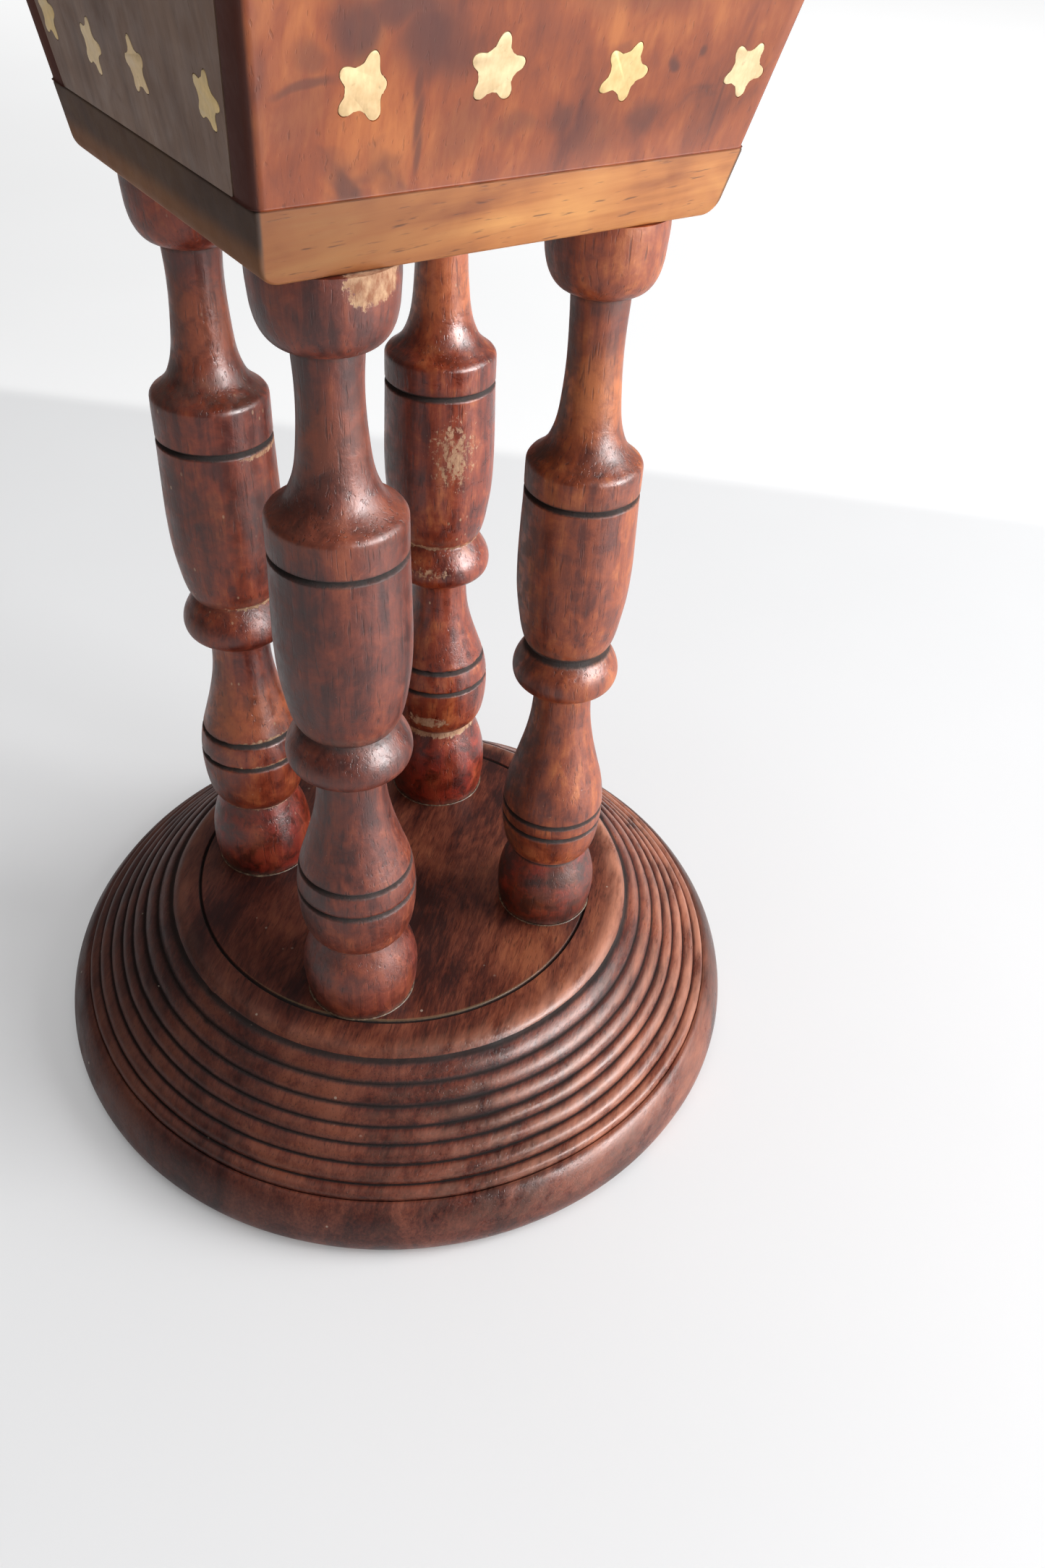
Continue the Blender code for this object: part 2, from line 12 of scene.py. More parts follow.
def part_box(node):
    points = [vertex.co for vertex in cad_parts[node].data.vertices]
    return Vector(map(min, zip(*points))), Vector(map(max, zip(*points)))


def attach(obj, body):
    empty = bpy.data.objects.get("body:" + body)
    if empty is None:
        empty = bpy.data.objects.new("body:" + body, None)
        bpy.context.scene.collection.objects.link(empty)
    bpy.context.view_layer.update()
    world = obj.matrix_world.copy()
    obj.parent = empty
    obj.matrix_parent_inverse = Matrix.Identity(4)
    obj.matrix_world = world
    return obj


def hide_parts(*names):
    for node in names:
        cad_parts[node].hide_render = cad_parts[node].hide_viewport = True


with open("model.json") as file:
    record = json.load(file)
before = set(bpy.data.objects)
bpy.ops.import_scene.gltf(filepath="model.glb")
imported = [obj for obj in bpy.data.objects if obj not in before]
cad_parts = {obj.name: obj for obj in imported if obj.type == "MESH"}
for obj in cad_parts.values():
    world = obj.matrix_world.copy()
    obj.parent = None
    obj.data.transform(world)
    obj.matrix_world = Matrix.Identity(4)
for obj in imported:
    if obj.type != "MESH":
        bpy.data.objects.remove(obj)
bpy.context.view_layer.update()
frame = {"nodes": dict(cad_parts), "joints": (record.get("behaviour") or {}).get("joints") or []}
NODES = frame["nodes"]

MM = 0.001
BASE_TOP = 0.0510
BASE_TOP_MM = 51.0
BASE_RADIUS = 0.1250
PITCH = 0.0755  # between neighbouring spindle axes
BOX_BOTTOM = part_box("bottom_board")[0].z
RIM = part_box("front_panel")[1].z
HALF_WIDTH = 0.0584  # of the box's underside
HALF_DEPTH = 0.0523
WIDTH_FLARE = 0.1185  # how far each wall leans out, per unit of height
DEPTH_FLARE = 0.2864
BOARD = 0.0152  # thickness of the board under the box
END_ROUND = 0.0045  # radius under that board's two ends
PANEL = 0.0090  # thickness of the box's walls
GAP = 0.0003  # between one board and the next

# The floor's far sheet starts this far from the origin, along this direction.
FAR_SHEET = (0.6909, 0.7230, 0.0)
FAR_START = 0.4471


# ---------------------------------------------------------------- mesh helpers


def new_object(name, mesh, finish, body, replaced=(), sharp=40):
    """One named piece, on its body, in place of the CAD nodes that it replaces."""
    mesh.shade_smooth()
    mesh.set_sharp_from_angle(angle=math.radians(sharp))
    obj = bpy.data.objects.new(name, mesh)
    bpy.context.scene.collection.objects.link(obj)
    mesh.materials.clear()
    mesh.materials.append(finish)
    if body:
        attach(obj, body)
    if replaced:
        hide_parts(*replaced)
    return obj


def mesh_from(bm, name):
    bmesh.ops.recalc_face_normals(bm, faces=bm.faces)
    mesh = bpy.data.meshes.new(name)
    bm.to_mesh(mesh)
    bm.free()
    return mesh


def loose(mesh):
    obj = bpy.data.objects.new("working", mesh)
    bpy.context.scene.collection.objects.link(obj)
    return obj


def block(size, middle=(0, 0, 0)):
    bm = bmesh.new()
    bmesh.ops.create_cube(bm, size=1.0)
    bmesh.ops.scale(bm, verts=bm.verts, vec=size)
    bmesh.ops.translate(bm, verts=bm.verts, vec=middle)
    return bm


def carved(mesh, cutters, name):
    """The mesh with the cutters' shapes taken out of it. The cutters are used up."""
    obj = loose(mesh)
    for cutter in cutters:
        modifier = obj.modifiers.new("carve", "BOOLEAN")
        modifier.object = cutter
        modifier.solver = "EXACT"
    graph = bpy.context.evaluated_depsgraph_get()
    graph.update()
    found = bpy.data.meshes.new_from_object(obj.evaluated_get(graph))
    found.name = name
    for used in (obj, *cutters):
        bpy.data.objects.remove(used)
    return found


def smooth_path(points, step):
    """Points about step apart along a smooth curve through the given ones: a centripetal
    Catmull-Rom spline."""
    pts = [np.array(p, float) for p in points]
    pts = [2 * pts[0] - pts[1]] + pts + [2 * pts[-1] - pts[-2]]
    found = []
    for a, b, c, d in zip(pts, pts[1:], pts[2:], pts[3:]):
        t0 = 0.0
        t1 = t0 + max(np.linalg.norm(b - a), 1e-9) ** 0.5
        t2 = t1 + max(np.linalg.norm(c - b), 1e-9) ** 0.5
        t3 = t2 + max(np.linalg.norm(d - c), 1e-9) ** 0.5
        count = max(1, int(math.ceil(np.linalg.norm(c - b) / step)))
        for n in range(count):
            t = t1 + (t2 - t1) * n / count
            ab = a * (t1 - t) / (t1 - t0) + b * (t - t0) / (t1 - t0)
            bc = b * (t2 - t) / (t2 - t1) + c * (t - t1) / (t2 - t1)
            cd = c * (t3 - t) / (t3 - t2) + d * (t - t2) / (t3 - t2)
            abc = ab * (t2 - t) / (t2 - t0) + bc * (t - t0) / (t2 - t0)
            bcd = bc * (t3 - t) / (t3 - t1) + cd * (t - t1) / (t3 - t1)
            found.append(abc * (t2 - t) / (t2 - t1) + bcd * (t - t1) / (t2 - t1))
    found.append(pts[-2])
    return found


def ring_mesh(name, profile, sides, place, marks):
    """A closed turned mesh. profile lists (radius, height) from the top down, and both ends are
    closed on the axis. place(r, z, angle) gives a vertex, and marks names the point attributes
    and the functions that give them."""
    spots = [(0.0, profile[0][1], 0.0)]
    for r, z in profile:
        spots += [(r, z, math.tau * k / sides) for k in range(sides)]
    spots.append((0.0, profile[-1][1], 0.0))
    foot = len(spots) - 1
    last = foot - sides
    faces = []
    for k in range(sides):
        after = (k + 1) % sides
        faces.append((0, 1 + k, 1 + after))
        for ring in range(1, last, sides):
            faces.append((ring + k, ring + sides + k, ring + sides + after, ring + after))
        faces.append((foot, last + after, last + k))
    mesh = bpy.data.meshes.new(name)
    mesh.from_pydata([place(*spot) for spot in spots], [], faces)
    mesh.validate()
    for label, function in marks.items():
        attribute = mesh.attributes.new(label, "FLOAT", "POINT")
        values = [function(*spot) for spot in spots]
        attribute.data.foreach_set("value", np.array(values, np.float32))
    return mesh


def noise_at(x, y, z):
    return noise.noise(Vector((x, y, z)))


def bump_at(value, middle, width):
    """1 at the middle, falling smoothly to 0 at width on each side."""
    t = abs(value - middle) / width
    if t >= 1:
        return 0.0
    return (1 - t * t) ** 2


def smoothstep(low, high, value):
    t = min(1.0, max(0.0, (value - low) / (high - low)))
    return t * t * (3 - 2 * t)


def around(angle, middle, width):
    """bump_at for angles."""
    return bump_at(abs((angle - middle + math.pi) % math.tau - math.pi), 0, width)


# ---------------------------------------------------------------- materials


class Tree:
    """Writes a material's nodes: each call adds nodes and returns the last one's output."""

    def __init__(self, name):
        self.material = bpy.data.materials.new(name)
        self.material.use_nodes = True
        self.nodes = self.material.node_tree.nodes
        self.links = self.material.node_tree.links
        self.shader = self.nodes["Principled BSDF"]
        self.coords = self.add("TexCoord", "Object", {})

    def put(self, socket, value):
        if isinstance(value, bpy.types.NodeSocket):
            self.links.new(value, socket)
        elif value is not None:
            socket.default_value = value

    def add(self, kind, output, inputs, **settings):
        node = self.nodes.new(f"ShaderNode{kind}")
        for name, value in settings.items():
            setattr(node, name, value)
        for name, value in inputs.items():
            self.put(node.inputs[name], value)
        return node.outputs[output]

    def turned(self, turn, move):
        """Object coordinates, turned and moved."""
        inputs = {"Vector": self.coords, "Rotation": turn, "Location": move}
        return self.add("Mapping", 0, inputs, vector_type="TEXTURE")

    def noise(self, vector, scale, detail=3.0, rough=0.55, distortion=0.0, output="Fac"):
        inputs = {"Vector": vector, "Scale": scale, "Detail": detail, "Roughness": rough}
        return self.add("TexNoise", output, inputs | {"Distortion": distortion})

    def voronoi(self, vector, scale):
        return self.add("TexVoronoi", "Distance", {"Vector": vector, "Scale": scale})

    def vector(self, operation, first, second=None):
        output = "Value" if operation in ("LENGTH", "DOT_PRODUCT") else "Vector"
        return self.add("VectorMath", output, {0: first, 1: second}, operation=operation)

    def math(self, operation, first, second=None, clamp=False):
        inputs = {0: first, 1: second}
        return self.add("Math", 0, inputs, operation=operation, use_clamp=clamp)

    def times(self, first, second, clamp=False):
        return self.math("MULTIPLY", first, second, clamp)

    def plus(self, first, second, clamp=False):
        return self.math("ADD", first, second, clamp)

    def weighted(self, *parts):
        """The sum of (value, weight) pairs."""
        total = self.times(*parts[0])
        for part in parts[1:]:
            total = self.plus(total, self.times(*part))
        return total

    def stretched(self, vector, share):
        """The vector with its X scaled, which draws a noise out along the grain."""
        return self.vector("MULTIPLY", vector, (share, 1.0, 1.0))

    def ranged(self, value, low, high, to_low=0.0, to_high=1.0):
        """The value's way from low to high, smoothed and clamped."""
        inputs = {"Value": value, "From Min": low, "From Max": high}
        inputs |= {"To Min": to_low, "To Max": to_high}
        return self.add("MapRange", "Result", inputs, interpolation_type="SMOOTHSTEP")

    def ramp(self, value, stops):
        node = self.nodes.new("ShaderNodeValToRGB")
        elements = node.color_ramp.elements
        elements[0].position, elements[0].color = stops[0][0], (*stops[0][1], 1)
        elements[1].position, elements[1].color = stops[-1][0], (*stops[-1][1], 1)
        for position, colour in stops[1:-1]:
            elements.new(position).color = (*colour, 1)
        self.put(node.inputs["Fac"], value)
        return node.outputs["Color"]

    def mix(self, amount, first, second, blend="MIX"):
        first, second = ((*c, 1) if isinstance(c, tuple) else c for c in (first, second))
        inputs = {"Factor": amount, 6: first, 7: second}
        return self.add("Mix", 2, inputs, data_type="RGBA", blend_type=blend)

    def over(self, colour, mask, amount, added):
        """The colour with another laid over it, as thickly as the mask times the amount."""
        return self.mix(self.times(mask, amount), colour, added)

    def attribute(self, name):
        return self.add("Attribute", "Fac", {}, attribute_name=name)

    def axis(self, index):
        return self.add("SeparateXYZ", index, {0: self.coords})

    def finish(self, colour, roughness, height=None, strength=0.3, distance=0.0004, **constant):
        self.put(self.shader.inputs["Base Color"], colour)
        self.put(self.shader.inputs["Roughness"], roughness)
        for name, value in constant.items():
            self.shader.inputs[name.replace("_", " ")].default_value = value
        if height is not None:
            inputs = {"Height": height, "Strength": strength, "Distance": distance}
            self.put(self.shader.inputs["Normal"], self.add("Bump", 0, inputs))
        return self.material


def grain_coords(tree, direction, seed):
    """Object coordinates turned so that the grain runs along the new X axis."""
    turn = Vector((1, 0, 0)).rotation_difference(Vector(direction)).to_euler()
    return tree.turned(tuple(turn), (seed * 0.37, seed * 0.21, seed * 0.53))


def pores_of(tree, along, scale, cover):
    """Short dark dashes along the grain."""
    dashes = tree.noise(tree.stretched(along, 0.10), scale, 2.0, 0.6)
    return tree.ranged(dashes, 0.5 + cover, 0.5 + cover + 0.12)


def scaled(colour, share):
    return tuple(share * part for part in colour)


def spindle_finish(name, seed, dark, middle, light, haze=0.0, gloss=0.30, specks=0.0):
    """Thick red-brown stain over straight vertical grain, mottled, grimy in the hollows, with
    painted shade down one side, burnt black in the turned lines and rubbed through to pale wood in
    places."""
    t = Tree(name)
    along = grain_coords(t, (0, 0, 1), seed)
    cloudy = t.noise(t.stretched(along, 0.40), 70, 4, 0.62, 0.8)
    clumps = t.noise(t.coords, 150, 4, 0.68, 0.4)
    streaks = t.noise(t.stretched(along, 0.08), 420, 3, 0.6, 0.3)
    broad = t.noise(t.stretched(along, 0.3), 26, 2, 0.5, 0.4)
    shade = t.weighted((cloudy, 0.30), (clumps, 0.26), (streaks, 0.20), (broad, 0.24))
    deepest = scaled(dark, 0.42)
    colour = t.ramp(shade, [(0.35, deepest), (0.435, dark), (0.51, middle), (0.60, light)])
    faded = t.times(t.attribute("faded"), t.ranged(clumps, 0.35, 0.60, 0.4, 1.0))
    colour = t.mix(faded, colour, light)
    # Where the stain lies thickest it is redder and deeper.
    red = (middle[0], 0.42 * middle[1], 0.50 * middle[2])
    blotched = [(0.41, scaled(red, 0.22)), (0.50, scaled(red, 0.66)), (0.60, scaled(red, 1.15))]
    colour = t.mix(t.attribute("deep"), colour, t.ramp(clumps, blotched))
    pores = pores_of(t, along, 1250, 0.08)
    colour = t.over(colour, pores, 0.55, deepest)
    grime = t.ranged(t.noise(t.coords, 210, 3, 0.65), 0.30, 0.62)
    # Grime in the hollows, and painted shade down the side away from the light.
    grime_and_painted_shade = t.times(t.attribute("grime_and_painted_shade"), t.ranged(grime, 0.0, 1.0, 0.45, 1.0), True)
    colour = t.over(colour, grime_and_painted_shade, 0.86, (0.030, 0.017, 0.012))
    haze_mask = t.times(t.plus(t.attribute("dust"), haze), grime, True)
    colour = t.over(colour, haze_mask, 0.55, (0.30, 0.22, 0.17))
    edge = t.noise(t.coords, 900, 3, 0.7)
    scuffs = t.noise(t.stretched(along, 0.55), 520, 4, 0.7)
    rubbed = t.plus(t.attribute("worn"), t.times(edge, 0.9))
    worn = t.ranged(t.plus(rubbed, scuffs), 1.24, 1.42)
    bare = t.ramp(scuffs, [(0.35, (0.34, 0.13, 0.055)), (0.65, (0.66, 0.42, 0.24))])
    colour = t.over(colour, worn, 0.85, bare)
    if specks:
        cells = t.voronoi(t.stretched(along, 0.55), 300)
        sparse = t.ranged(t.noise(t.coords, 75, 2, 0.5), 0.48, 0.60)
        bits = t.times(t.ranged(cells, 0.13, 0.07), sparse)
        colour = t.over(colour, bits, specks, (0.60, 0.40, 0.24))
    char = t.ranged(t.plus(t.attribute("burn"), t.times(edge, 0.45)), 0.38, 1.05)
    colour = t.over(colour, char, 0.94, (0.014, 0.009, 0.007))
    glue_mask = t.ranged(t.plus(t.attribute("glue"), t.times(edge, 0.5)), 0.75, 1.0)
    colour = t.over(colour, glue_mask, 0.8, (0.40, 0.28, 0.16))
    rough = t.ranged(clumps, 0.3, 0.7, gloss, gloss + 0.16)
    rough = t.plus(rough, t.times(t.math("MAXIMUM", worn, char), 0.50))
    rough = t.plus(rough, t.times(haze_mask, 0.25))
    rough = t.plus(rough, t.times(grime_and_painted_shade, 0.12), True)
    height = t.weighted((clumps, 0.9), (streaks, 0.5), (edge, 0.22), (pores, -0.30), (worn, -0.25))
    return t.finish(colour, rough, height, 0.5, 0.00040, Specular_IOR_Level=0.56)


def base_finish():
    """Dark stained open-grained wood with dirty grooves: darkest to the left and under the right
    rim, lightest to the right. Those differences are painted shade and painted highlight, fitted to
    the photo, over the stain's own colour."""
    t = Tree("base_wood_look")
    along = grain_coords(t, (0.73, 0.68, 0), 3)
    figure = t.noise(t.stretched(along, 0.42), 60, 5, 0.68, 0.9)
    bands = t.noise(t.vector("MULTIPLY", along, (0.06, 1, 0.12)), 150, 2, 0.5, 0.5)
    streaks = t.noise(t.stretched(along, 0.16), 980, 3, 0.70, 0.4)
    broad = t.noise(t.coords, 22, 3, 0.55, 0.5)
    shade = t.weighted((figure, 0.38), (streaks, 0.20), (bands, 0.08), (broad, 0.34))
    stops = [(0.43, (0.034, 0.009, 0.008)), (0.48, (0.092, 0.021, 0.014))]
    stops += [(0.53, (0.170, 0.043, 0.026)), (0.59, (0.268, 0.078, 0.042))]
    colour = t.ramp(shade, stops)
    # side runs along the light's direction: what is ramped by it below is painted light and shade.
    side = t.vector("DOT_PRODUCT", t.coords, (0.82, -0.57, 0.0))
    # The flat top lighter and yellower, most towards the lit right: partly painted light.
    flat = t.times(t.ranged(t.axis(2), 0.0475, 0.0506), t.ranged(side, -0.06, 0.03, 0.3, 1.0))
    colour = t.mix(flat, colour, (1.12, 1.22, 1.10), "MULTIPLY")
    # Painted shade: darker towards the left, away from the light.
    deep = t.ranged(side, 0.045, -0.105)
    colour = t.over(colour, deep, 0.74, (0.026, 0.008, 0.007))
    # Painted shade on the rim's lower right rear.
    rear = t.vector("DOT_PRODUCT", t.coords, (0.80, 0.60, 0.0))
    shaded = t.times(t.ranged(rear, -0.01, 0.060), t.ranged(t.axis(2), 0.0215, 0.0185))
    colour = t.over(colour, shaded, 0.88, (0.050, 0.022, 0.017))
    pores = pores_of(t, along, 1900, 0.07)
    colour = t.over(colour, pores, 0.60, (0.016, 0.008, 0.006))
    rub = t.noise(t.stretched(along, 0.30), 150, 4, 0.65)
    # Ridge tops and lip rubbed lighter, with painted highlight on them towards the lit right.
    ridge_rub_and_highlight = t.times(t.attribute("ridge_rub_and_highlight"), t.ranged(rub, 0.25, 0.68))
    ridge_rub_and_highlight = t.times(ridge_rub_and_highlight, t.ranged(side, -0.02, 0.095, 0.10, 0.95))
    ridge_rub_and_highlight = t.times(ridge_rub_and_highlight, t.ranged(shaded, 0.0, 1.0, 1.0, 0.15))
    colour = t.over(colour, ridge_rub_and_highlight, 0.86, (0.62, 0.265, 0.166))
    fine = t.noise(t.coords, 700, 3, 0.7)
    # Dirt in the valleys and the scribed line; the valleys' extra width away from the lit side is
    # painted shade.
    groove_dirt_and_shade = t.ranged(t.plus(t.attribute("groove"), t.times(fine, 0.30)), 0.36, 0.95)
    colour = t.over(colour, groove_dirt_and_shade, 0.90, (0.012, 0.008, 0.007))
    wax = t.ranged(t.plus(t.attribute("wax"), t.times(fine, 0.5)), 0.70, 1.0)
    colour = t.over(colour, wax, 0.38, (0.25, 0.19, 0.10))
    cells = t.voronoi(t.coords, 150)
    sparse = t.ranged(t.noise(t.coords, 60, 2, 0.5), 0.56, 0.64)
    specks = t.times(t.ranged(cells, 0.085, 0.055), sparse)
    colour = t.over(colour, specks, 0.55, (0.50, 0.42, 0.33))
    rough = t.plus(t.ranged(rub, 0.3, 0.7, 0.25, 0.41), t.times(deep, 0.16))
    rough = t.plus(rough, t.times(groove_dirt_and_shade, 0.55), True)
    height = t.weighted((streaks, 0.5), (pores, -0.20), (rub, 0.7))
    return t.finish(colour, rough, height, 0.4, 0.00035, IOR=1.36)


# Figure lines thinner than this stay straight, and wider clouds of figure wander.
THIN_LINE = 0.0014


def box_finish(
    name, direction, seed, dark, middle, light, spots=(), gloss=0.38, tone=0.5, ends=None, pore=0.28
):
    """Polished figured wood: fine straight grain under dark swirling figure. spots are extra clouds
    and lines of dark figure, each a place, three half sizes and a strength; the bottom board's one
    is painted shade. ends is the colour of the end grain, which the box's boards show to the left
    and right; the bottom board's holds painted shade and is darker at the top, painted shadow."""
    t = Tree(name)
    along = grain_coords(t, direction, seed)
    warp = t.noise(t.coords, 26, 3, 0.6, 0.4, output="Color")
    warp = t.vector("SUBTRACT", warp, (0.5, 0.5, 0.5))
    wandering = t.vector("ADD", t.coords, t.vector("MULTIPLY", warp, (0.020,) * 3))
    streaks = t.noise(t.stretched(along, 0.06), 420, 4, 0.6, 0.4)
    bands = t.noise(t.stretched(along, 0.16), 56, 3, 0.55, 1.2)
    broad = t.noise(wandering, 34, 3, 0.5, 0.6)
    shade = t.weighted((streaks, 0.22), (bands, 0.40), (broad, 0.38))
    colour = t.ramp(shade, [(0.36, dark), (0.50, middle), (0.64, light)])
    swirl = t.noise(wandering, 30, 3, 0.55, 1.4)
    figure = t.ranged(swirl, tone, tone + 0.16)
    for place, size, strength in spots:
        coords = t.coords if min(size) < THIN_LINE else wandering
        offset = t.vector("DIVIDE", t.vector("SUBTRACT", coords, place), size)
        cloud = t.times(t.ranged(t.vector("LENGTH", offset), 1.15, 0.30), strength)
        figure = t.math("MAXIMUM", figure, cloud)
    mottled = t.times(figure, t.ranged(streaks, 0.25, 0.7, 0.80, 1.0))
    colour = t.over(colour, mottled, 0.88, (0.070, 0.018, 0.015))
    pores = pores_of(t, along, 1300, 0.11)
    colour = t.over(colour, pores, pore, (0.050, 0.016, 0.008))
    if ends:
        slant = t.times(t.math("SUBTRACT", t.axis(2), BOX_BOTTOM), WIDTH_FLARE)
        reach = t.math("SUBTRACT", t.math("ABSOLUTE", t.axis(0)), slant)
        cut = t.ranged(reach, HALF_WIDTH - 0.0014, HALF_WIDTH - 0.0006)
        # On the bottom board's ends: darker at the top, painted shadow under the wall above.
        above, below = BOX_BOTTOM + BOARD * 0.62, BOX_BOTTOM + BOARD * 0.30
        grain = t.mix(t.ranged(t.axis(2), above, below, 0.0, 0.25), ends, middle)
        colour = t.over(colour, cut, 0.90, grain)
    rub = t.noise(t.coords, 150, 3, 0.6)
    rough = t.ranged(rub, 0.3, 0.7, gloss, gloss + 0.14)
    if ends:
        rough = t.plus(rough, t.times(cut, 0.40), True)
    height = t.weighted((streaks, 0.6), (pores, -0.5))
    return t.finish(colour, rough, height, 0.30, 0.00025, Specular_IOR_Level=0.40)


def brass_finish(name, low, high, rough_low=0.28, metallic=1.0):
    """Aged brass: brushed, a little tarnished, rubbed brighter in patches."""
    t = Tree(name)
    brushed = t.noise(t.vector("MULTIPLY", t.coords, (1, 1, 0.25)), 1400, 3, 0.6)
    patches = t.noise(t.coords, 220, 3, 0.6)
    shade = t.weighted((patches, 0.7), (brushed, 0.3))
    colour = t.ramp(shade, [(0.36, low), (0.62, high)])
    stain = t.ranged(t.noise(t.coords, 520, 3, 0.7), 0.60, 0.78)
    colour = t.over(colour, stain, 0.35, (0.20, 0.13, 0.06))
    rough = t.ranged(patches, 0.3, 0.7, rough_low, rough_low + 0.22)
    return t.finish(colour, rough, brushed, 0.15, 0.0001, Metallic=metallic)


def floor_finish():
    """Plain pale paper, lighter past the straight, soft line where its far sheet begins."""
    t = Tree("floor_look")
    mottle = t.ranged(t.noise(t.coords, 6, 2, 0.5), 0.3, 0.7, 0.985, 1.0)
    away = t.vector("DOT_PRODUCT", t.coords, FAR_SHEET)
    far = t.ranged(away, FAR_START - 0.012, FAR_START + 0.016)
    tone = t.mix(far, (0.725, 0.730, 0.740), (0.84, 0.845, 0.85))
    tone = t.mix(1.0, tone, t.ramp(mottle, [(0.0, (0, 0, 0)), (1.0, (1, 1, 1))]), "MULTIPLY")
    t.shader.inputs["Emission Color"].default_value = (1, 1, 1, 1)
    step = t.ranged(far, 0.0, 1.0, 0.155, 0.22)
    glow = t.plus(step, t.ranged(away, FAR_START, 2.2, 0.0, 0.40))
    t.put(t.shader.inputs["Emission Strength"], glow)
    return t.finish(tone, 0.55)


# ---------------------------------------------------------------- base

# In millimetres: the radii of the grooves on the cone, how far each ridge between them rises,
# and the (radius, height) of the cone's two edges.
VALLEYS = (84.0, 89.4, 94.6, 99.4, 103.5, 108.1, 112.7, 116.6)
RIDGE_RISES = (1.0, 1.2, 1.3, 1.4, 1.5, 1.9, 2.1)
RIDGE_STEPS = 12
CONE_TOP = (84.0, 47.8)
CONE_FOOT = (116.6, 18.6)
# The circle scribed on the flat top, which sits off the base's own middle.
SCRIBE = 71.75
SCRIBE_OFFSET = (-1.2, 2.1)
# Radii in metres: the flat eases into the round lip, and the ridges follow it.
FLAT_EDGE = 0.0735
LIP_START = 0.0790
RIDGES_START = 0.0830
BASE_SIDES = 224
# Breaks in the ridges, each a turn, a radius and a depth in metres.
NICKS = ((3.30, 0.0835, 0.0013), (3.36, 0.0905, 0.0010), (5.6, 0.1010, 0.0004))
LIT_SIDE = math.radians(-35)  # the side lit in the photo, where the grooves look narrowest
WAXY_SIDE = 4.3


def base_profile():
    """(radius, height) of the base in millimetres, from the top's middle to the underside's."""
    points = [(r, BASE_TOP_MM) for r in (6, 14, 24, 34, 44, 54, 60, 64, 67, 69, 70.2)]
    for offset in (-0.9, -0.7, -0.35, 0, 0.35, 0.7, 0.9):
        points.append((SCRIBE + offset, BASE_TOP_MM - 1.2 * max(0, 1 - abs(offset) / 0.7)))
    points += [(73.4, BASE_TOP_MM), (75.0, BASE_TOP_MM), (77.0, BASE_TOP_MM), (78.6, 50.98)]
    lip = [(79.6, 50.93), (80.8, 50.65), (81.9, 50.05), (82.8, 49.2), (83.5, 48.3), CONE_TOP]
    points += [tuple(p) for p in smooth_path(lip, 0.35)]
    slope = np.array(CONE_FOOT) - np.array(CONE_TOP)
    unit = slope / np.linalg.norm(slope)
    out = np.array([-unit[1], unit[0]])
    for start, end, rise in zip(VALLEYS, VALLEYS[1:], RIDGE_RISES):
        for n in range(1, RIDGE_STEPS + 1):
            t = n / RIDGE_STEPS
            along = (start + (end - start) * t - CONE_TOP[0]) / slope[0]
            lift = rise * math.sin(math.pi * t) ** 0.62 if n < RIDGE_STEPS else 0
            points.append(tuple(np.array(CONE_TOP) + slope * along + out * lift))
    rim = [
        CONE_FOOT, (117.1, 19.5), (117.8, 19.75), (118.9, 19.3), (120.5, 17.7), (122.3, 15.0),
        (123.8, 11.6), (124.7, 8.6), (125.0, 6.4), (124.85, 4.2), (124.2, 2.2), (123.0, 0.7),
        (121.4, 0.0),
    ]
    points += [tuple(p) for p in smooth_path(rim, 0.5)][1:]
    points += [(r, 0.0) for r in (118, 100, 70, 40, 15)]
    return points


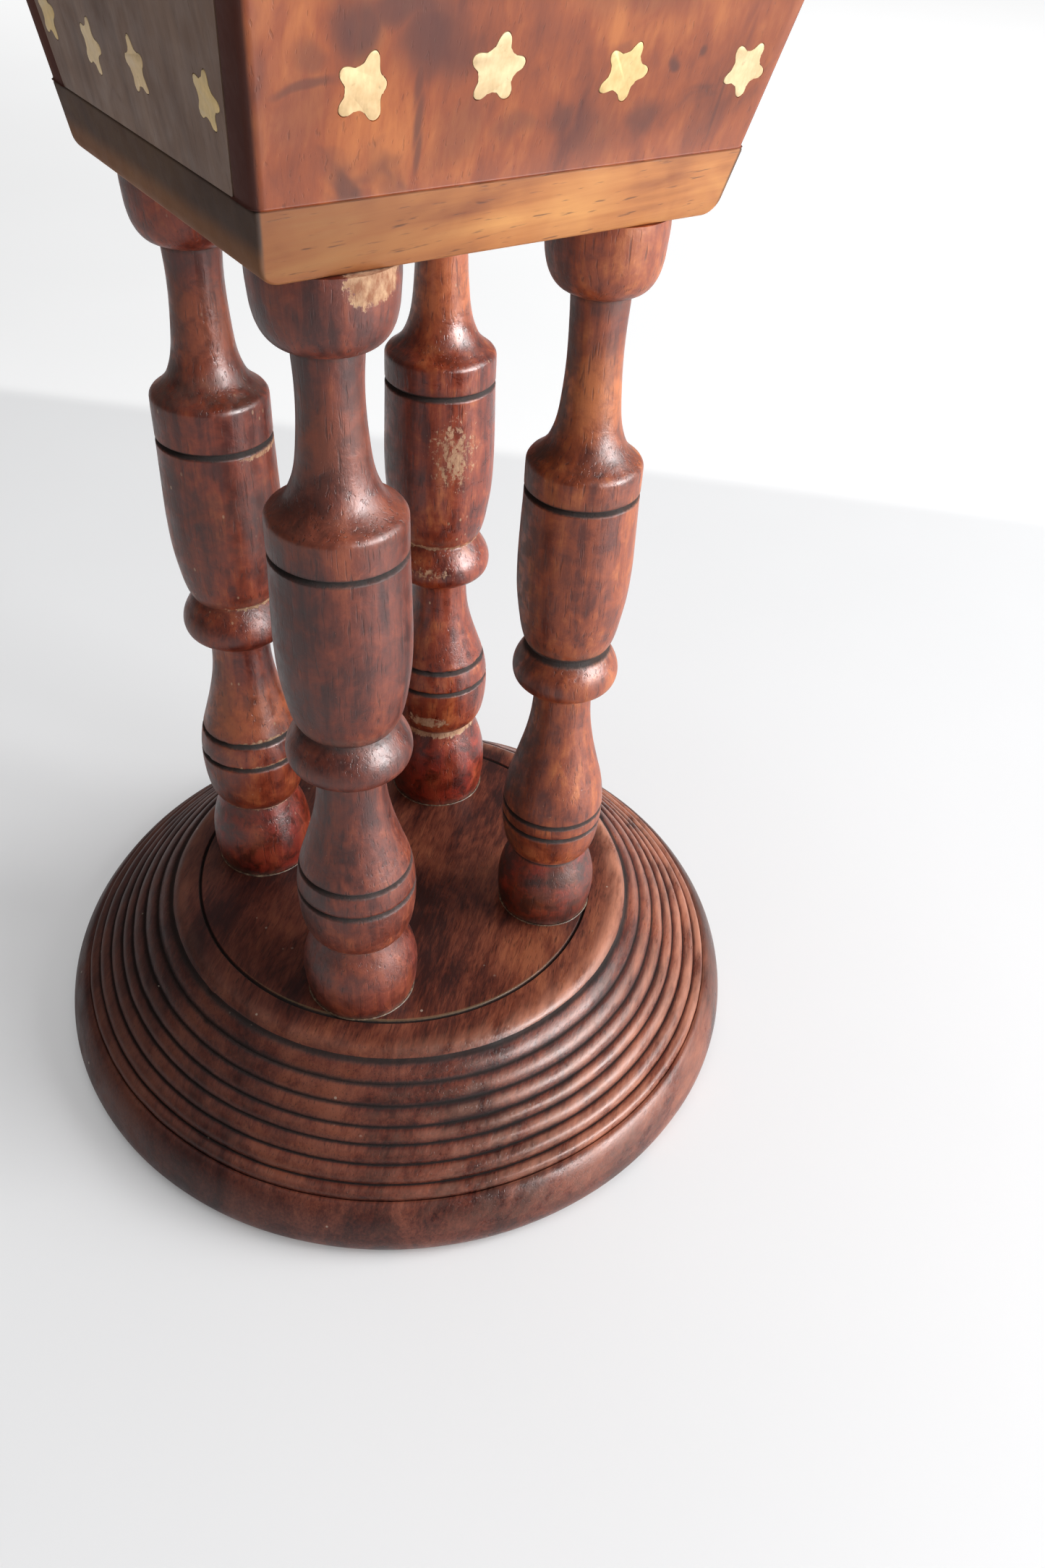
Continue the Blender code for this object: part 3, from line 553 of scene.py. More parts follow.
def build_base():
    profile = [(r * MM, z * MM) for r, z in base_profile()]

    def place(r, z, angle):
        """The scribed flat is off centre, and the ridges wander and are nicked."""
        share = 1 - smoothstep(FLAT_EDGE, LIP_START, r)
        direction = Vector((math.cos(angle), math.sin(angle), 0))
        wander = 0.0
        if r > RIDGES_START and z > 0.002:
            wander = 0.00022 * noise_at(direction.x * 3.1, direction.y * 3.1, r * 90)
            if z > 0.010 and r < 0.118:
                wander += 0.00012 * noise_at(direction.x * 14, direction.y * 14, r * 300)
        nick = 0.0
        for turn, middle, deep in NICKS:
            nick += deep * around(angle, turn, 0.022) * bump_at(r, middle, 0.0022)
        reach = min(r + wander, BASE_RADIUS)
        x = reach * direction.x + share * SCRIBE_OFFSET[0] * MM
        y = reach * direction.y + share * SCRIBE_OFFSET[1] * MM
        return (x, y, max(0.0, z - nick))

    slope = (CONE_FOOT[1] - CONE_TOP[1]) / (CONE_FOOT[0] - CONE_TOP[0])

    def height_over_valleys(r, z):
        line = (CONE_TOP[1] + slope * (r / MM - CONE_TOP[0])) * MM
        return (z - line) * math.cos(math.atan(slope))

    def groove(r, z, angle):
        from_scribe = abs(r - SCRIBE * MM)
        if from_scribe < 0.0012 and z > 0.04:
            return 1.0 - smoothstep(0.0001, 0.0010, from_scribe)
        if 0.0832 < r < 0.1174 and z > 0.01:
            dark = 0.82 + 0.18 * smoothstep(0.088, 0.112, r)
            # The valleys are drawn wider away from LIT_SIDE: painted shade.
            spread = 0.0010 + 0.0005 * (0.5 - 0.5 * math.cos(angle - LIT_SIDE))
            return dark * (1 - smoothstep(0.0001, spread, height_over_valleys(r, z)))
        return 0.0

    # Rubbed ridge tops, rim and lip, and the painted highlight on them.
    def ridge_rub_and_highlight(r, z, angle):
        if z < 0.010:
            return 0.12 * smoothstep(0.0, 0.006, z)
        if r > 0.1175:
            return 0.30
        if r > 0.0832:
            return 0.75 * smoothstep(0.0007, 0.0014, height_over_valleys(r, z))
        return 1.1 * bump_at(r, 0.0808, 0.0048)

    def wax(r, z, angle):
        """Old polish left in the scribed circle's inner edge, towards the front."""
        side = 0.5 + 0.5 * math.cos(angle - WAXY_SIDE)
        return bump_at(r, 0.0709, 0.0009) * (0.10 + 0.90 * side ** 3) if z > 0.04 else 0.0

    marks = {"groove": groove, "ridge_rub_and_highlight": ridge_rub_and_highlight, "wax": wax}
    mesh = ring_mesh("base_turned", profile, BASE_SIDES, place, marks)
    new_object("base_turned", mesh, base_finish(), "table", ("base",), 55)


# ---------------------------------------------------------------- spindles

# Corner signs, girth, heights in mm of the foot's neck, the lower and upper vase lines, the
# barrel's line and the shoulder, the seed of its irregularities, and the turn from its axis
# towards the solved camera. The worn places and the painted shade of the dark side are placed
# from that turn.
SPINDLES = {
    "front_left": (-1, -1, 1.04, 79.5, 100.3, 109.2, 217.9, 229.0, 11, -2.0279),
    "front_right": (1, -1, 0.95, 78.5, 93.8, 99.5, 215.4, 224.8, 23, -2.2536),
    "back_right": (1, 1, 1.02, 85.0, 106.0, 114.5, 218.1, 228.0, 37, -2.1225),
    "back_left": (-1, 1, 0.97, 81.0, 102.5, 111.8, 216.4, 230.0, 41, -1.9272),
}
# How strongly each spindle's marks show; side is the painted shade down its dark side.
SHOWS = {
    "front_left": dict(
        line=0.82, bead=0.45, collar=0.40, side=0.30, hollow=0.15, foot=0.0, red=0.25, faded=0.45
    ),
    "front_right": dict(
        line=1.0, bead=0.95, collar=0.75, side=1.0, hollow=0.42, foot=0.70, red=0.90, faded=0.90
    ),
    "back_right": dict(
        line=1.0, bead=0.30, collar=0.15, side=0.9, hollow=0.42, foot=0.0, red=0.85, faded=1.0
    ),
    "back_left": dict(
        line=1.0, bead=0.30, collar=0.15, side=0.75, hollow=0.42, foot=0.0, red=0.95, faded=0.50
    ),
}
BEAD_GROOVE = 164.0
CAP_TOP = 288.0
FOOT_SHAPE = (
    (0, 16.7), (0.10, 17.4), (0.30, 18.0), (0.52, 17.8), (0.74, 16.3), (0.90, 14.4), (1, 13.3),
)
# Between a spindle's two ends and what it stands against.
SPINDLE_GAP = 0.00015
SPINDLE_SIDES = 88


def spindle_profile(girth, neck, lower, upper, line, shoulder):
    """(radius, height) in millimetres of one spindle above the base, from the top down."""
    foot = [(r, BASE_TOP_MM + share * (neck - BASE_TOP_MM)) for share, r in FOOT_SHAPE]
    shift = neck - 80.0
    vase = [
        (13.3, neck), (14.7, neck + 1.4), (16.2, neck + 4.2), (17.3, neck + 9.5),
        (17.8, neck + 19.0), (17.3, 106 + shift * 0.7), (16.3, 111 + shift * 0.6),
        (14.5, 117 + shift * 0.5), (12.0, 126 + shift * 0.3), (10.4, 134 + shift * 0.1),
        (9.7, 141), (9.7, 146), (10.2, 148.6),
    ]
    bead = [
        (10.2, 148.6), (12.6, 149.0), (14.9, 150.0), (16.5, 151.6), (17.2, 153.9), (17.1, 156.2),
        (16.4, 158.4), (15.2, 160.6), (14.1, 162.4), (13.4, 163.3),
    ]
    groove = [(13.4, 163.3), (12.9, BEAD_GROOVE), (13.5, 164.9)]
    cup = [
        (13.5, 164.9), (14.4, 166.7), (15.3, 169.8), (16.1, 174), (17.2, 182), (17.6, 192),
        (17.35, 205), (17.1, shoulder - 13), (17.05, shoulder - 3.2), (16.9, shoulder - 1.2),
        (16.2, shoulder - 0.2),
    ]
    upper_neck = [
        (16.2, shoulder - 0.2), (14.3, shoulder + 1.2), (11.9, shoulder + 3.6),
        (10.1, shoulder + 7.3), (9.0, shoulder + 11.5), (8.2, shoulder + 18.5),
        (7.75, shoulder + 25.5), (7.7, shoulder + 32.0), (8.1, 268.6),
    ]
    cap = [
        (8.1, 268.6), (9.6, 269.2), (11.6, 270.1), (13.3, 271.8), (14.6, 274.3), (15.4, 277.5),
        (15.8, 281.5), (16.0, 285.0), (15.9, CAP_TOP),
    ]
    path = []
    for section in (foot, vase, bead, groove, cup, upper_neck, cap):
        found = smooth_path(section, 0.75)
        path += found[1:] if path else found
    path = [(r * girth, z) for r, z in path]
    # Each burnt line is a V cut into the surface, with rings of its own.
    for height, wide, deep in ((lower, 1.05, 1.05), (upper, 0.95, 0.95), (line, 1.00, 1.15)):
        radii, heights = zip(*path)
        path = [(r, z) for r, z in path if abs(z - height) > wide * 1.15]
        for offset in (-1.0, -0.7, -0.35, 0, 0.35, 0.7, 1.0):
            z = height + offset * wide
            path.append((float(np.interp(z, heights, radii)) - deep * (1 - abs(offset)), z))
        path.sort(key=lambda point: point[1])
    return path[::-1]


def build_spindle(label, finish):
    side, end, girth, neck, lower, upper, line, shoulder, seed, to_photo = SPINDLES[label]
    shows = SHOWS[label]
    cx, cy = side * PITCH / 2, end * PITCH / 2
    foot = BASE_TOP + SPINDLE_GAP
    top = CAP_TOP * MM - SPINDLE_GAP
    outline = spindle_profile(girth, neck, lower, upper, line, shoulder)
    profile = [(r * MM, min(top, max(foot, z * MM))) for r, z in outline]
    profile = [(profile[0][0] * 0.55, top)] + profile + [(profile[-1][0] * 0.55, foot)]

    # Rubbed places: strength, height and half height, then turn from the photo's side, half width.
    patches = {
        "front_left": [(1.15, 286.0, 6.5, 0.70, 0.66)],
        "front_right": [],
        "back_right": [
            (0.45, 200, 22, 0.30, 0.75),
            (0.60, neck + 8, 5.0, -0.25, 0.8),
            (0.36, 157, 5, -0.1, 0.8),
        ],
        "back_left": [
            (0.60, lower + 0.9, 1.6, 0.4, 1.3),
            (0.60, upper + 0.9, 1.6, 0.4, 1.3),
            (0.62, line - 1.6, 1.5, 0.9, 1.2),
            (0.56, BEAD_GROOVE + 0.3, 1.4, 0.5, 1.6),
        ],
    }[label]
    # Rubbed rings: strength, height, half height, and the share left on the far side.
    rings = {
        "back_right": [(0.66, neck - 0.6, 2.4, 0.35), (0.56, BEAD_GROOVE + 0.6, 1.6, 0.4)],
        "back_left": [(0.50, neck, 0.9, 1.0)],
    }.get(label, [])

    def round_noise(angle, tight, height=0.0):
        return noise_at(math.cos(angle) * tight, math.sin(angle) * tight, height + seed)

    def place(r, z, angle):
        direction = Vector((math.cos(angle), math.sin(angle), 0))
        reach = r
        if r > 0.004:
            spot = Vector((direction.x, direction.y, z * 45 + seed))
            reach += 0.00010 * noise.noise(spot * 1.6) - chips(z, direction)
        sway_x = 0.00025 * noise_at(seed, 0, z * 14)
        sway_y = 0.00025 * noise_at(0, seed, z * 14)
        return (cx + reach * direction.x + sway_x, cy + reach * direction.y + sway_y, z)

    def chips(z, direction):
        """Wood broken out along the burnt lines of the two rear spindles."""
        deep = 0.0
        for height in (lower, upper) if label.startswith("back") else ():
            near = bump_at(z / MM, height, 2.2)
            if near > 0:
                broken = noise_at(direction.x * 9, direction.y * 9, z * 400 + seed)
                deep += near * max(0.0, broken) * 0.0009
        return deep

    def burn(r, z, angle):
        h = z / MM
        soft = 2.1 if label == "front_left" else 1.8
        scorch = shows["line"] * max(bump_at(h, at, soft) for at in (lower, upper, line))
        scorch = max(scorch, shows["bead"] * bump_at(h, BEAD_GROOVE, 2.8))
        scorch = max(scorch, shows["collar"] * bump_at(h, neck, 1.5))
        return max(scorch, 0.5 * bump_at(h, 268.4, 1.2))

    def worn(r, z, angle):
        h = z / MM
        wear = 0.10 * max(0.0, round_noise(angle, 1.7, z * 38))
        for strength, height, reach, turn, width in patches:
            wear += strength * bump_at(h, height, reach) * around(angle, to_photo + turn, width)
        facing = 0.5 + 0.5 * math.cos(angle - to_photo)
        for strength, height, reach, least in rings:
            wear += strength * bump_at(h, height, reach) * (least + (1 - least) * facing)
        return wear

    def grime_and_painted_shade(r, z, angle):
        """Old grime on the shoulder, under the cap and above the bead. The dark left side is
        painted shade, fitted to the photo."""
        h = z / MM
        hollow = max(
            bump_at(h, shoulder + 3, 7), bump_at(h, 267, 4), 0.7 * bump_at(h, 162.5, 3),
            0.8 * bump_at(h, line + 1.5, 2.6), 0.6 * bump_at(h, neck + 1, 3),
        )
        # Painted shade down the side away from the light.
        left = shows["side"] * around(angle, to_photo - 1.25, 1.25)
        low = shows["foot"] * (1 - smoothstep(neck - 4, neck, h))
        barrel = 0.50 * bump_at(h, 196, 26) if label == "back_left" else 0.0
        return max(shows["hollow"] * hollow, left, low, barrel)

    def deep(r, z, angle):
        """Thicker, redder stain on the foot."""
        patchy = 0.8 + 0.5 * round_noise(angle, 2, z * 90)
        return shows["red"] * patchy * (1 - smoothstep(neck - 3, neck + 6, z / MM))

    def faded(r, z, angle):
        """Stain rubbed lighter on the upper neck, and on the left rear spindle's vase."""
        h = z / MM
        handled = shows["faded"] * bump_at(h, shoulder + 20, 17)
        if label == "front_left":
            handled = max(handled, 0.35 * bump_at(h, shoulder, 8))
        if label == "back_left":
            handled = max(handled, 0.80 * bump_at(h, 122, 14))
        return handled

    def dust(r, z, angle):
        h = z / MM
        amount = 0.35 * bump_at(h, neck + 1.4, 2.2) + 0.30 * bump_at(h, 166.5, 3.0)
        if label == "back_left":
            amount += 0.25 * bump_at(h, shoulder + 3, 6)
        return amount + 0.35 * bump_at(h, 52, 2.5)

    def glue(r, z, angle):
        return bump_at(z / MM, 51.3, 1.5) * (0.45 + 0.55 * round_noise(angle, 2))

    marks = (burn, worn, grime_and_painted_shade, deep, faded, dust, glue)
    marks = {mark.__name__: mark for mark in marks}
    node = f"spindle_{label}"
    mesh = ring_mesh(f"{node}_turned", profile, SPINDLE_SIDES, place, marks)
    new_object(f"{node}_turned", mesh, finish, "table", (node,), 50)


def glue_ring(label, seed, finish):
    """The thin squeezed-out line of old glue round a spindle's foot."""
    side, end, girth, *_ = SPINDLES[label]
    cx, cy = side * PITCH / 2, end * PITCH / 2
    bm = bmesh.new()
    rings = []
    sides, round_steps = 72, 6
    for k in range(sides):
        angle = math.tau * k / sides
        swell = noise_at(math.cos(angle) * 1.8, math.sin(angle) * 1.8, seed)
        thick = 0.00028 + 0.00034 * max(0.0, swell + 0.25)
        middle = 0.0168 * girth + thick * 0.4
        ring = []
        for n in range(round_steps + 1):
            turn = math.pi * n / round_steps
            r = middle + thick * math.cos(turn)
            z = BASE_TOP + thick * 0.9 * math.sin(turn) - 0.00002
            ring.append(bm.verts.new((cx + r * math.cos(angle), cy + r * math.sin(angle), z)))
        rings.append(ring)
    for k in range(sides):
        here, after = rings[k], rings[(k + 1) % sides]
        for n in range(round_steps):
            bm.faces.new((here[n], here[n + 1], after[n + 1], after[n]))
        bm.faces.new((here[0], after[0], after[-1], here[-1]))
    mesh = mesh_from(bm, f"glue_{label}")
    new_object(f"glue_{label}", mesh, finish, "table", (), 80)


# ---------------------------------------------------------------- box

# How thick the leaning walls are, measured level.
FRONT_WALL = PANEL * math.hypot(1, DEPTH_FLARE)
SIDE_WALL = PANEL * math.hypot(1, WIDTH_FLARE)
SHARP = 0.9  # edges that turn by more than this angle are rounded
CORNER_ROUND = 0.0022
LID_ROUND = 0.0040
LID_STAR_INSET = 0.0200


def half_width(height):
    """Of the box's outside, at a height above its underside."""
    return HALF_WIDTH + WIDTH_FLARE * height


def half_depth(height):
    return HALF_DEPTH + DEPTH_FLARE * height


def prism(low, high):
    """A closed solid between two rings of points. Its second face is the high ring's."""
    bm = bmesh.new()
    low, high = ([bm.verts.new(point) for point in ring] for ring in (low, high))
    bm.faces.new(low)
    bm.faces.new(high)
    for here in range(len(low)):
        after = (here + 1) % len(low)
        bm.faces.new((low[here], low[after], high[after], high[here]))
    bm.faces.ensure_lookup_table()
    return bm


def bevel(bm, edges, width, segments):
    bmesh.ops.bevel(
        bm, geom=edges, offset=width, segments=segments, affect="EDGES", profile=0.5
    )


def eased(bm, chosen, width, segments):
    """Rounds the chosen edges, then all the other sharp ones slightly."""
    picked = [edge for edge in bm.edges if chosen(edge)]
    if picked:
        bevel(bm, picked, width, segments)
    joins = [edge for edge in bm.edges if len(edge.link_faces) == 2]
    bevel(bm, [edge for edge in joins if edge.calc_face_angle() > SHARP], 0.0005, 2)
    return bm


def face_matrix(name, along, height):
    facing = {"front": (0, -1), "right": (1, 0), "back": (0, 1), "left": (-1, 0)}[name]
    out = Vector((*facing, 0))
    side = Vector((-facing[1], facing[0], 0))
    flare, reach = WIDTH_FLARE, half_width(height)
    if facing[1]:
        flare, reach = DEPTH_FLARE, half_depth(height)
    up = (Vector((0, 0, 1)) + out * flare).normalized()
    normal = side.cross(up)
    place = out * reach + side * along + Vector((0, 0, BOX_BOTTOM + height))
    return Matrix.Translation(place) @ Matrix((side, up, normal)).transposed().to_4x4()


STAR_REACH = 0.00645  # from a star's middle to its tips
STAR_WAIST = 0.00330
POCKET_DEPTH = 0.0018
POCKET_GAP = 0.00016  # all round an inlay
INLAY_DEPTH = 0.00155
INLAY_PROUD = 0.00006  # how far the box's inlays stand out
INLAY_EDGE = 0.00018
STAR_SEED_STEP = 3.7
FACE_SEEDS = {"front": 0, "right": 20, "back": 40, "left": 60}
# The seed of the first star on the front, which has lost most of one tip.
BROKEN_STAR, BROKEN_TIP = STAR_SEED_STEP, 4


def star_points(turn, seed, grow=0.0):
    """A hand-cut star's outline: fat blunt tips, none quite like the next, and soft corners."""
    points = []
    for tip in range(5):
        middle = math.radians(90 - turn + 72 * tip)
        reach = STAR_REACH * (1 + 0.10 * noise_at(tip * 1.7, seed, 0.3))
        if (seed, tip) == (BROKEN_STAR, BROKEN_TIP):
            reach *= 0.62
        waist = STAR_WAIST * (1 + 0.10 * noise_at(tip * 2.3, seed, 5.1))
        lean = 0.10 * noise_at(tip * 3.1, seed, 9.7)
        blunt = 0.17 + 0.05 * noise_at(tip * 2.9, seed, 3.3)
        for offset in (-blunt, blunt):
            angle = middle + lean + offset
            points.append((reach * math.cos(angle), reach * math.sin(angle)))
        hollow = middle + math.pi / 5
        points.append((waist * math.cos(hollow), waist * math.sin(hollow)))
    for _ in range(3):
        cut = []
        for (x0, y0), (x1, y1) in zip(points, points[1:] + points[:1]):
            for share in (0.25, 0.75):
                cut.append((x0 + (x1 - x0) * share, y0 + (y1 - y0) * share))
        points = cut
    found = []
    for x, y in points:
        r = math.hypot(x, y)
        found.append((x * (r + grow) / r, y * (r + grow) / r))
    return found


def plate(points, low, high, edge=0.0):
    bm = prism([(x, y, low) for x, y in points], [(x, y, high) for x, y in points])
    if edge:
        bevel(bm, list(bm.faces[1].edges), edge, 2)
    return bm


# Along each face, height above the box's underside, clockwise turn in degrees, size, and which
# of the brass looks it has.
STARS = {
    "front": [
        (-0.0397, 0.0350, 12, 1.0, 1), (-0.0121, 0.0361, 5, 1.0, 0),
        (0.0189, 0.0337, 22, 0.94, 2), (0.0519, 0.0322, 30, 0.90, 0),
    ],
    "right": [
        (-0.0430, 0.0330, -8, 1.0, 0), (-0.0140, 0.0344, 14, 1.0, 1),
        (0.0150, 0.0325, 5, 1.0, 2), (0.0450, 0.0338, 24, 1.0, 0),
    ],
    "back": [
        (-0.0480, 0.0341, 10, 1.0, 2), (-0.0170, 0.0328, -6, 1.0, 0),
        (0.0150, 0.0346, 17, 1.0, 1), (0.0450, 0.0331, 4, 1.0, 2),
    ],
    "left": [
        (-0.0440, 0.0305, 6, 0.85, 2), (-0.0171, 0.0289, 15, 0.85, 0),
        (0.0089, 0.0297, -9, 0.85, 1), (0.0441, 0.0311, 18, 0.85, 2),
    ],
}


def with_pockets(bm, name, places):
    """The board's mesh, with all of its stars' pockets cut as one."""
    board = mesh_from(bm, name)
    joined = bmesh.new()
    for place, turn, seed in places:
        pocket = plate(star_points(turn, seed, POCKET_GAP), -POCKET_DEPTH, 0.0012)
        pocket.transform(place)
        piece = mesh_from(pocket, "pocket")
        joined.from_mesh(piece)
        bpy.data.meshes.remove(piece)
    return carved(board, [loose(mesh_from(joined, "pockets"))], name)


def build_star(name, place, turn, seed, finish, body):
    bm = plate(star_points(turn, seed), -INLAY_DEPTH, INLAY_PROUD, INLAY_EDGE)
    bm.transform(place)
    mesh = mesh_from(bm, f"{name}_inlay")
    new_object(f"{name}_inlay", mesh, finish, body, (name,), 40)


def wall_block(face):
    """One wall of the box, before its edges are rounded."""
    rings = []
    for height in (BOARD + GAP / 3, RIM - BOX_BOTTOM):
        wide, deep = half_width(height), half_depth(height)
        if face in ("left", "right"):
            deep -= FRONT_WALL + GAP / 2
        x0, x1, y0, y1 = {
            "front": (-wide, wide, -deep, -deep + FRONT_WALL),
            "back": (-wide, wide, deep - FRONT_WALL, deep),
            "left": (-wide, -wide + SIDE_WALL, -deep, deep),
            "right": (wide - SIDE_WALL, wide, -deep, deep),
        }[face]
        z = BOX_BOTTOM + height
        rings.append([(x0, y0, z), (x1, y0, z), (x1, y1, z), (x0, y1, z)])
    return prism(*rings)


def build_panels(finishes, star_finishes):
    for face, stars in STARS.items():
        places = []
        for number, (along, height, turn, size, _) in enumerate(stars, start=1):
            place = face_matrix(face, along, height) @ Matrix.Diagonal((size, size, 1, 1))
            places.append((place, turn, STAR_SEED_STEP * number + FACE_SEEDS[face]))
        outward = {"front": -1, "back": 1}.get(face, 0)

        def corner(edge, outward=outward):
            """The box's upright corners, which are on the front and back boards only."""
            a, b = (vert.co for vert in edge.verts)
            middle = (a.y + b.y) / 2
            upright = outward and abs(a.z - b.z) >= 0.02
            return upright and middle * outward > half_depth(0.055) - 0.002

        name = f"{face}_panel_board"
        mesh = with_pockets(eased(wall_block(face), corner, CORNER_ROUND, 4), name, places)
        if face == "back":
            mesh = carved(mesh, hinge_recesses(-1), name)
        new_object(name, mesh, finishes[face], "table", (f"{face}_panel",), 35)
        for number, ((place, turn, seed), star) in enumerate(zip(places, stars), start=1):
            finish = star_finishes[star[-1]]
            build_star(f"star_{face}_{number}", place, turn, seed, finish, "table")


def build_bottom_board(finish):
    """The board under the box, its two ends rounded under."""
    outline = [(half_width(BOARD - GAP / 3), BOARD - GAP / 3)]
    lean = math.atan(WIDTH_FLARE)
    centre = half_width(0) - END_ROUND / math.tan((math.pi / 2 + lean) / 2)
    steps = 8
    for n in range(steps + 1):
        angle = -lean - (math.pi / 2 - lean) * n / steps
        outline.append((centre + END_ROUND * math.cos(angle), END_ROUND * (1 + math.sin(angle))))
    outline += [(-x, z) for x, z in reversed(outline)]
    rings = []
    for facing in (-1, 1):
        rings.append([(x, facing * half_depth(z), BOX_BOTTOM + z) for x, z in outline])
    bm = prism(*rings)
    bmesh.ops.recalc_face_normals(bm, faces=bm.faces)
    bevel(bm, [edge for edge in bm.edges if edge.calc_face_angle() > SHARP], 0.0007, 3)
    mesh = mesh_from(bm, "bottom_board_shaped")
    new_object("bottom_board_shaped", mesh, finish, "table", ("bottom_board",), 35)


def build_lid(finish, star_finishes):
    low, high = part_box("lid_board")
    middle = (high + low) / 2
    bm = block(high - low, middle)

    def upper(edge):
        return min(vert.co.z for vert in edge.verts) > middle.z

    eased(bm, upper, LID_ROUND, 6)
    x = half_width(RIM - BOX_BOTTOM) - LID_STAR_INSET
    y = half_depth(RIM - BOX_BOTTOM) - LID_STAR_INSET
    places = []
    for number, (px, py) in enumerate([(-x, -y), (x, -y), (x, y), (-x, y)], start=1):
        places.append((Matrix.Translation((px, py, high.z)), 10 * number, 80 + 3.1 * number))
    name = "lid_board_shaped"
    mesh = carved(with_pockets(bm, name, places), hinge_recesses(1), name)
    new_object(name, mesh, finish, "lid", ("lid_board",), 35)
    for number, (place, turn, seed) in enumerate(places, start=1):
        sunk = place @ Matrix.Translation((0, 0, -INLAY_PROUD))
        finish = star_finishes[number % len(star_finishes)]
        build_star(f"star_lid_{number}", sunk, turn, seed, finish, "lid")


# ---------------------------------------------------------------- hinges

AXIS = Vector(frame["joints"][0]["pos_m"])
LEAF_DEPTH = 0.0075
HINGE_LENGTH = 0.0200
HINGE_PLACE = 0.0400  # either side of the middle
KNUCKLE = 0.0020


def hinge_recesses(facing):
    """Cutters for both hinges' leaves and knuckles: -1 for the box's side, 1 for the lid's."""
    cutters = []
    half = HINGE_LENGTH / 2 + 0.00025
    near = AXIS.z - facing * 0.0010
    for middle in (-HINGE_PLACE, HINGE_PLACE):
        for reach, depth in (
            (LEAF_DEPTH + 0.0002, 0.00145), (KNUCKLE + 0.0002, KNUCKLE + 0.0004),
        ):
            away = AXIS.z + facing * depth
            low = Vector((middle - half, AXIS.y - reach, min(near, away)))
            high = Vector((middle + half, AXIS.y + 0.0100, max(near, away)))
            cutters.append(loose(mesh_from(block(high - low, (high + low) / 2), "recess")))
    return cutters


def refine_hinges(finish):
    for name, node in NODES.items():
        if name.startswith("hinge_"):
            node.data.materials.clear()
            node.data.materials.append(finish)


# (radius, height from its face) of a screw in metres, and the size of its slot.
SCREW = (
    (0.0004, 0), (0.0011, 0), (0.00145, 0), (0.0015, -0.00008), (0.0007, -0.0009),
    (0.0007, -0.0058), (0.0002, -0.0064),
)
SCREW_SLOT = (0.0036, 0.00042, 0.0011)


def build_screws(finish):
    """Countersunk screws with a slot across each head, each turned differently."""
    for number, name in enumerate(sorted(NODES)):
        if not name.startswith("screw_"):
            continue
        low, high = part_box(name)
        facing, body = (1, "table") if "_box_" in name else (-1, "lid")
        face = high.z if facing > 0 else low.z
        middle = ((low.x + high.x) / 2, (low.y + high.y) / 2)

        def place(r, z, angle, middle=middle, face=face, facing=facing):
            x = middle[0] + r * math.cos(angle)
            y = middle[1] + r * math.sin(angle) * facing
            return (x, y, face + z * facing)

        head = ring_mesh(f"{name}_working", SCREW, 24, place, {})
        slot = block(SCREW_SLOT)
        turn = Matrix.Rotation(0.5 + number * 1.3, 4, "Z")
        slot.transform(Matrix.Translation((*middle, face)) @ turn)
        mesh = carved(head, [loose(mesh_from(slot, "slot"))], f"{name}_slotted")
        new_object(f"{name}_slotted", mesh, finish, body, (name,), 35)


def dress_tray(finishes):
    """The tray's CAD boards keep their shape, with softened edges and bare wood."""
    names = sorted(name for name in NODES if name.startswith("tray_"))
    for number, name in enumerate(names):
        node = NODES[name]
        node.data.materials.clear()
        node.data.materials.append(finishes[number % len(finishes)])
        soft = node.modifiers.new("softened edges", "BEVEL")
        soft.width = 0.0004
        soft.segments = 2
        soft.limit_method = "ANGLE"
        soft.angle_limit = math.radians(40)


# ---------------------------------------------------------------- scene

# Each spindle's look: name, seed, darkest, middle and lightest stain, haze, gloss and specks.
SPINDLE_LOOKS = {
    "front_left": (
        "spindle_near_look", 1,
        (0.072, 0.010, 0.005), (0.180, 0.029, 0.011), (0.345, 0.074, 0.024), 0.02, 0.34, 0.0,
    ),
    "front_right": (
        "spindle_right_look", 2,
        (0.150, 0.023, 0.008), (0.350, 0.068, 0.018), (0.610, 0.175, 0.044), 0.0, 0.32, 0.0,
    ),
    "back_right": (
        "spindle_far_look", 5,
        (0.120, 0.015, 0.007), (0.320, 0.050, 0.016), (0.610, 0.170, 0.052), 0.0, 0.26, 0.8,
    ),
    "back_left": (
        "spindle_left_look", 7,
        (0.125, 0.016, 0.007), (0.300, 0.047, 0.015), (0.530, 0.128, 0.036), 0.02, 0.28, 0.5,
    ),
}
# Darkest, middle and lightest wood of each kind of board.
BOX_WOOD = (0.135, 0.023, 0.009), (0.325, 0.070, 0.017), (0.530, 0.158, 0.038)
# The left panel's, as dull as the photo shows that side, which faces away from its light: the
# wood's colours with painted shade in them.
PAINTED_SHADE_WOOD = (0.125, 0.068, 0.046), (0.195, 0.114, 0.077), (0.260, 0.162, 0.112)
BOARD_WOOD = (0.270, 0.070, 0.018), (0.530, 0.192, 0.050), (0.710, 0.320, 0.094)
TRAY_WOOD = (0.20, 0.085, 0.035), (0.34, 0.160, 0.070), (0.46, 0.240, 0.110)
PANEL_ENDS = (0.055, 0.014, 0.010)
# The bottom board's end grain, darkened with painted shade.
BOARD_ENDS_AND_SHADE = (0.052, 0.038, 0.031)
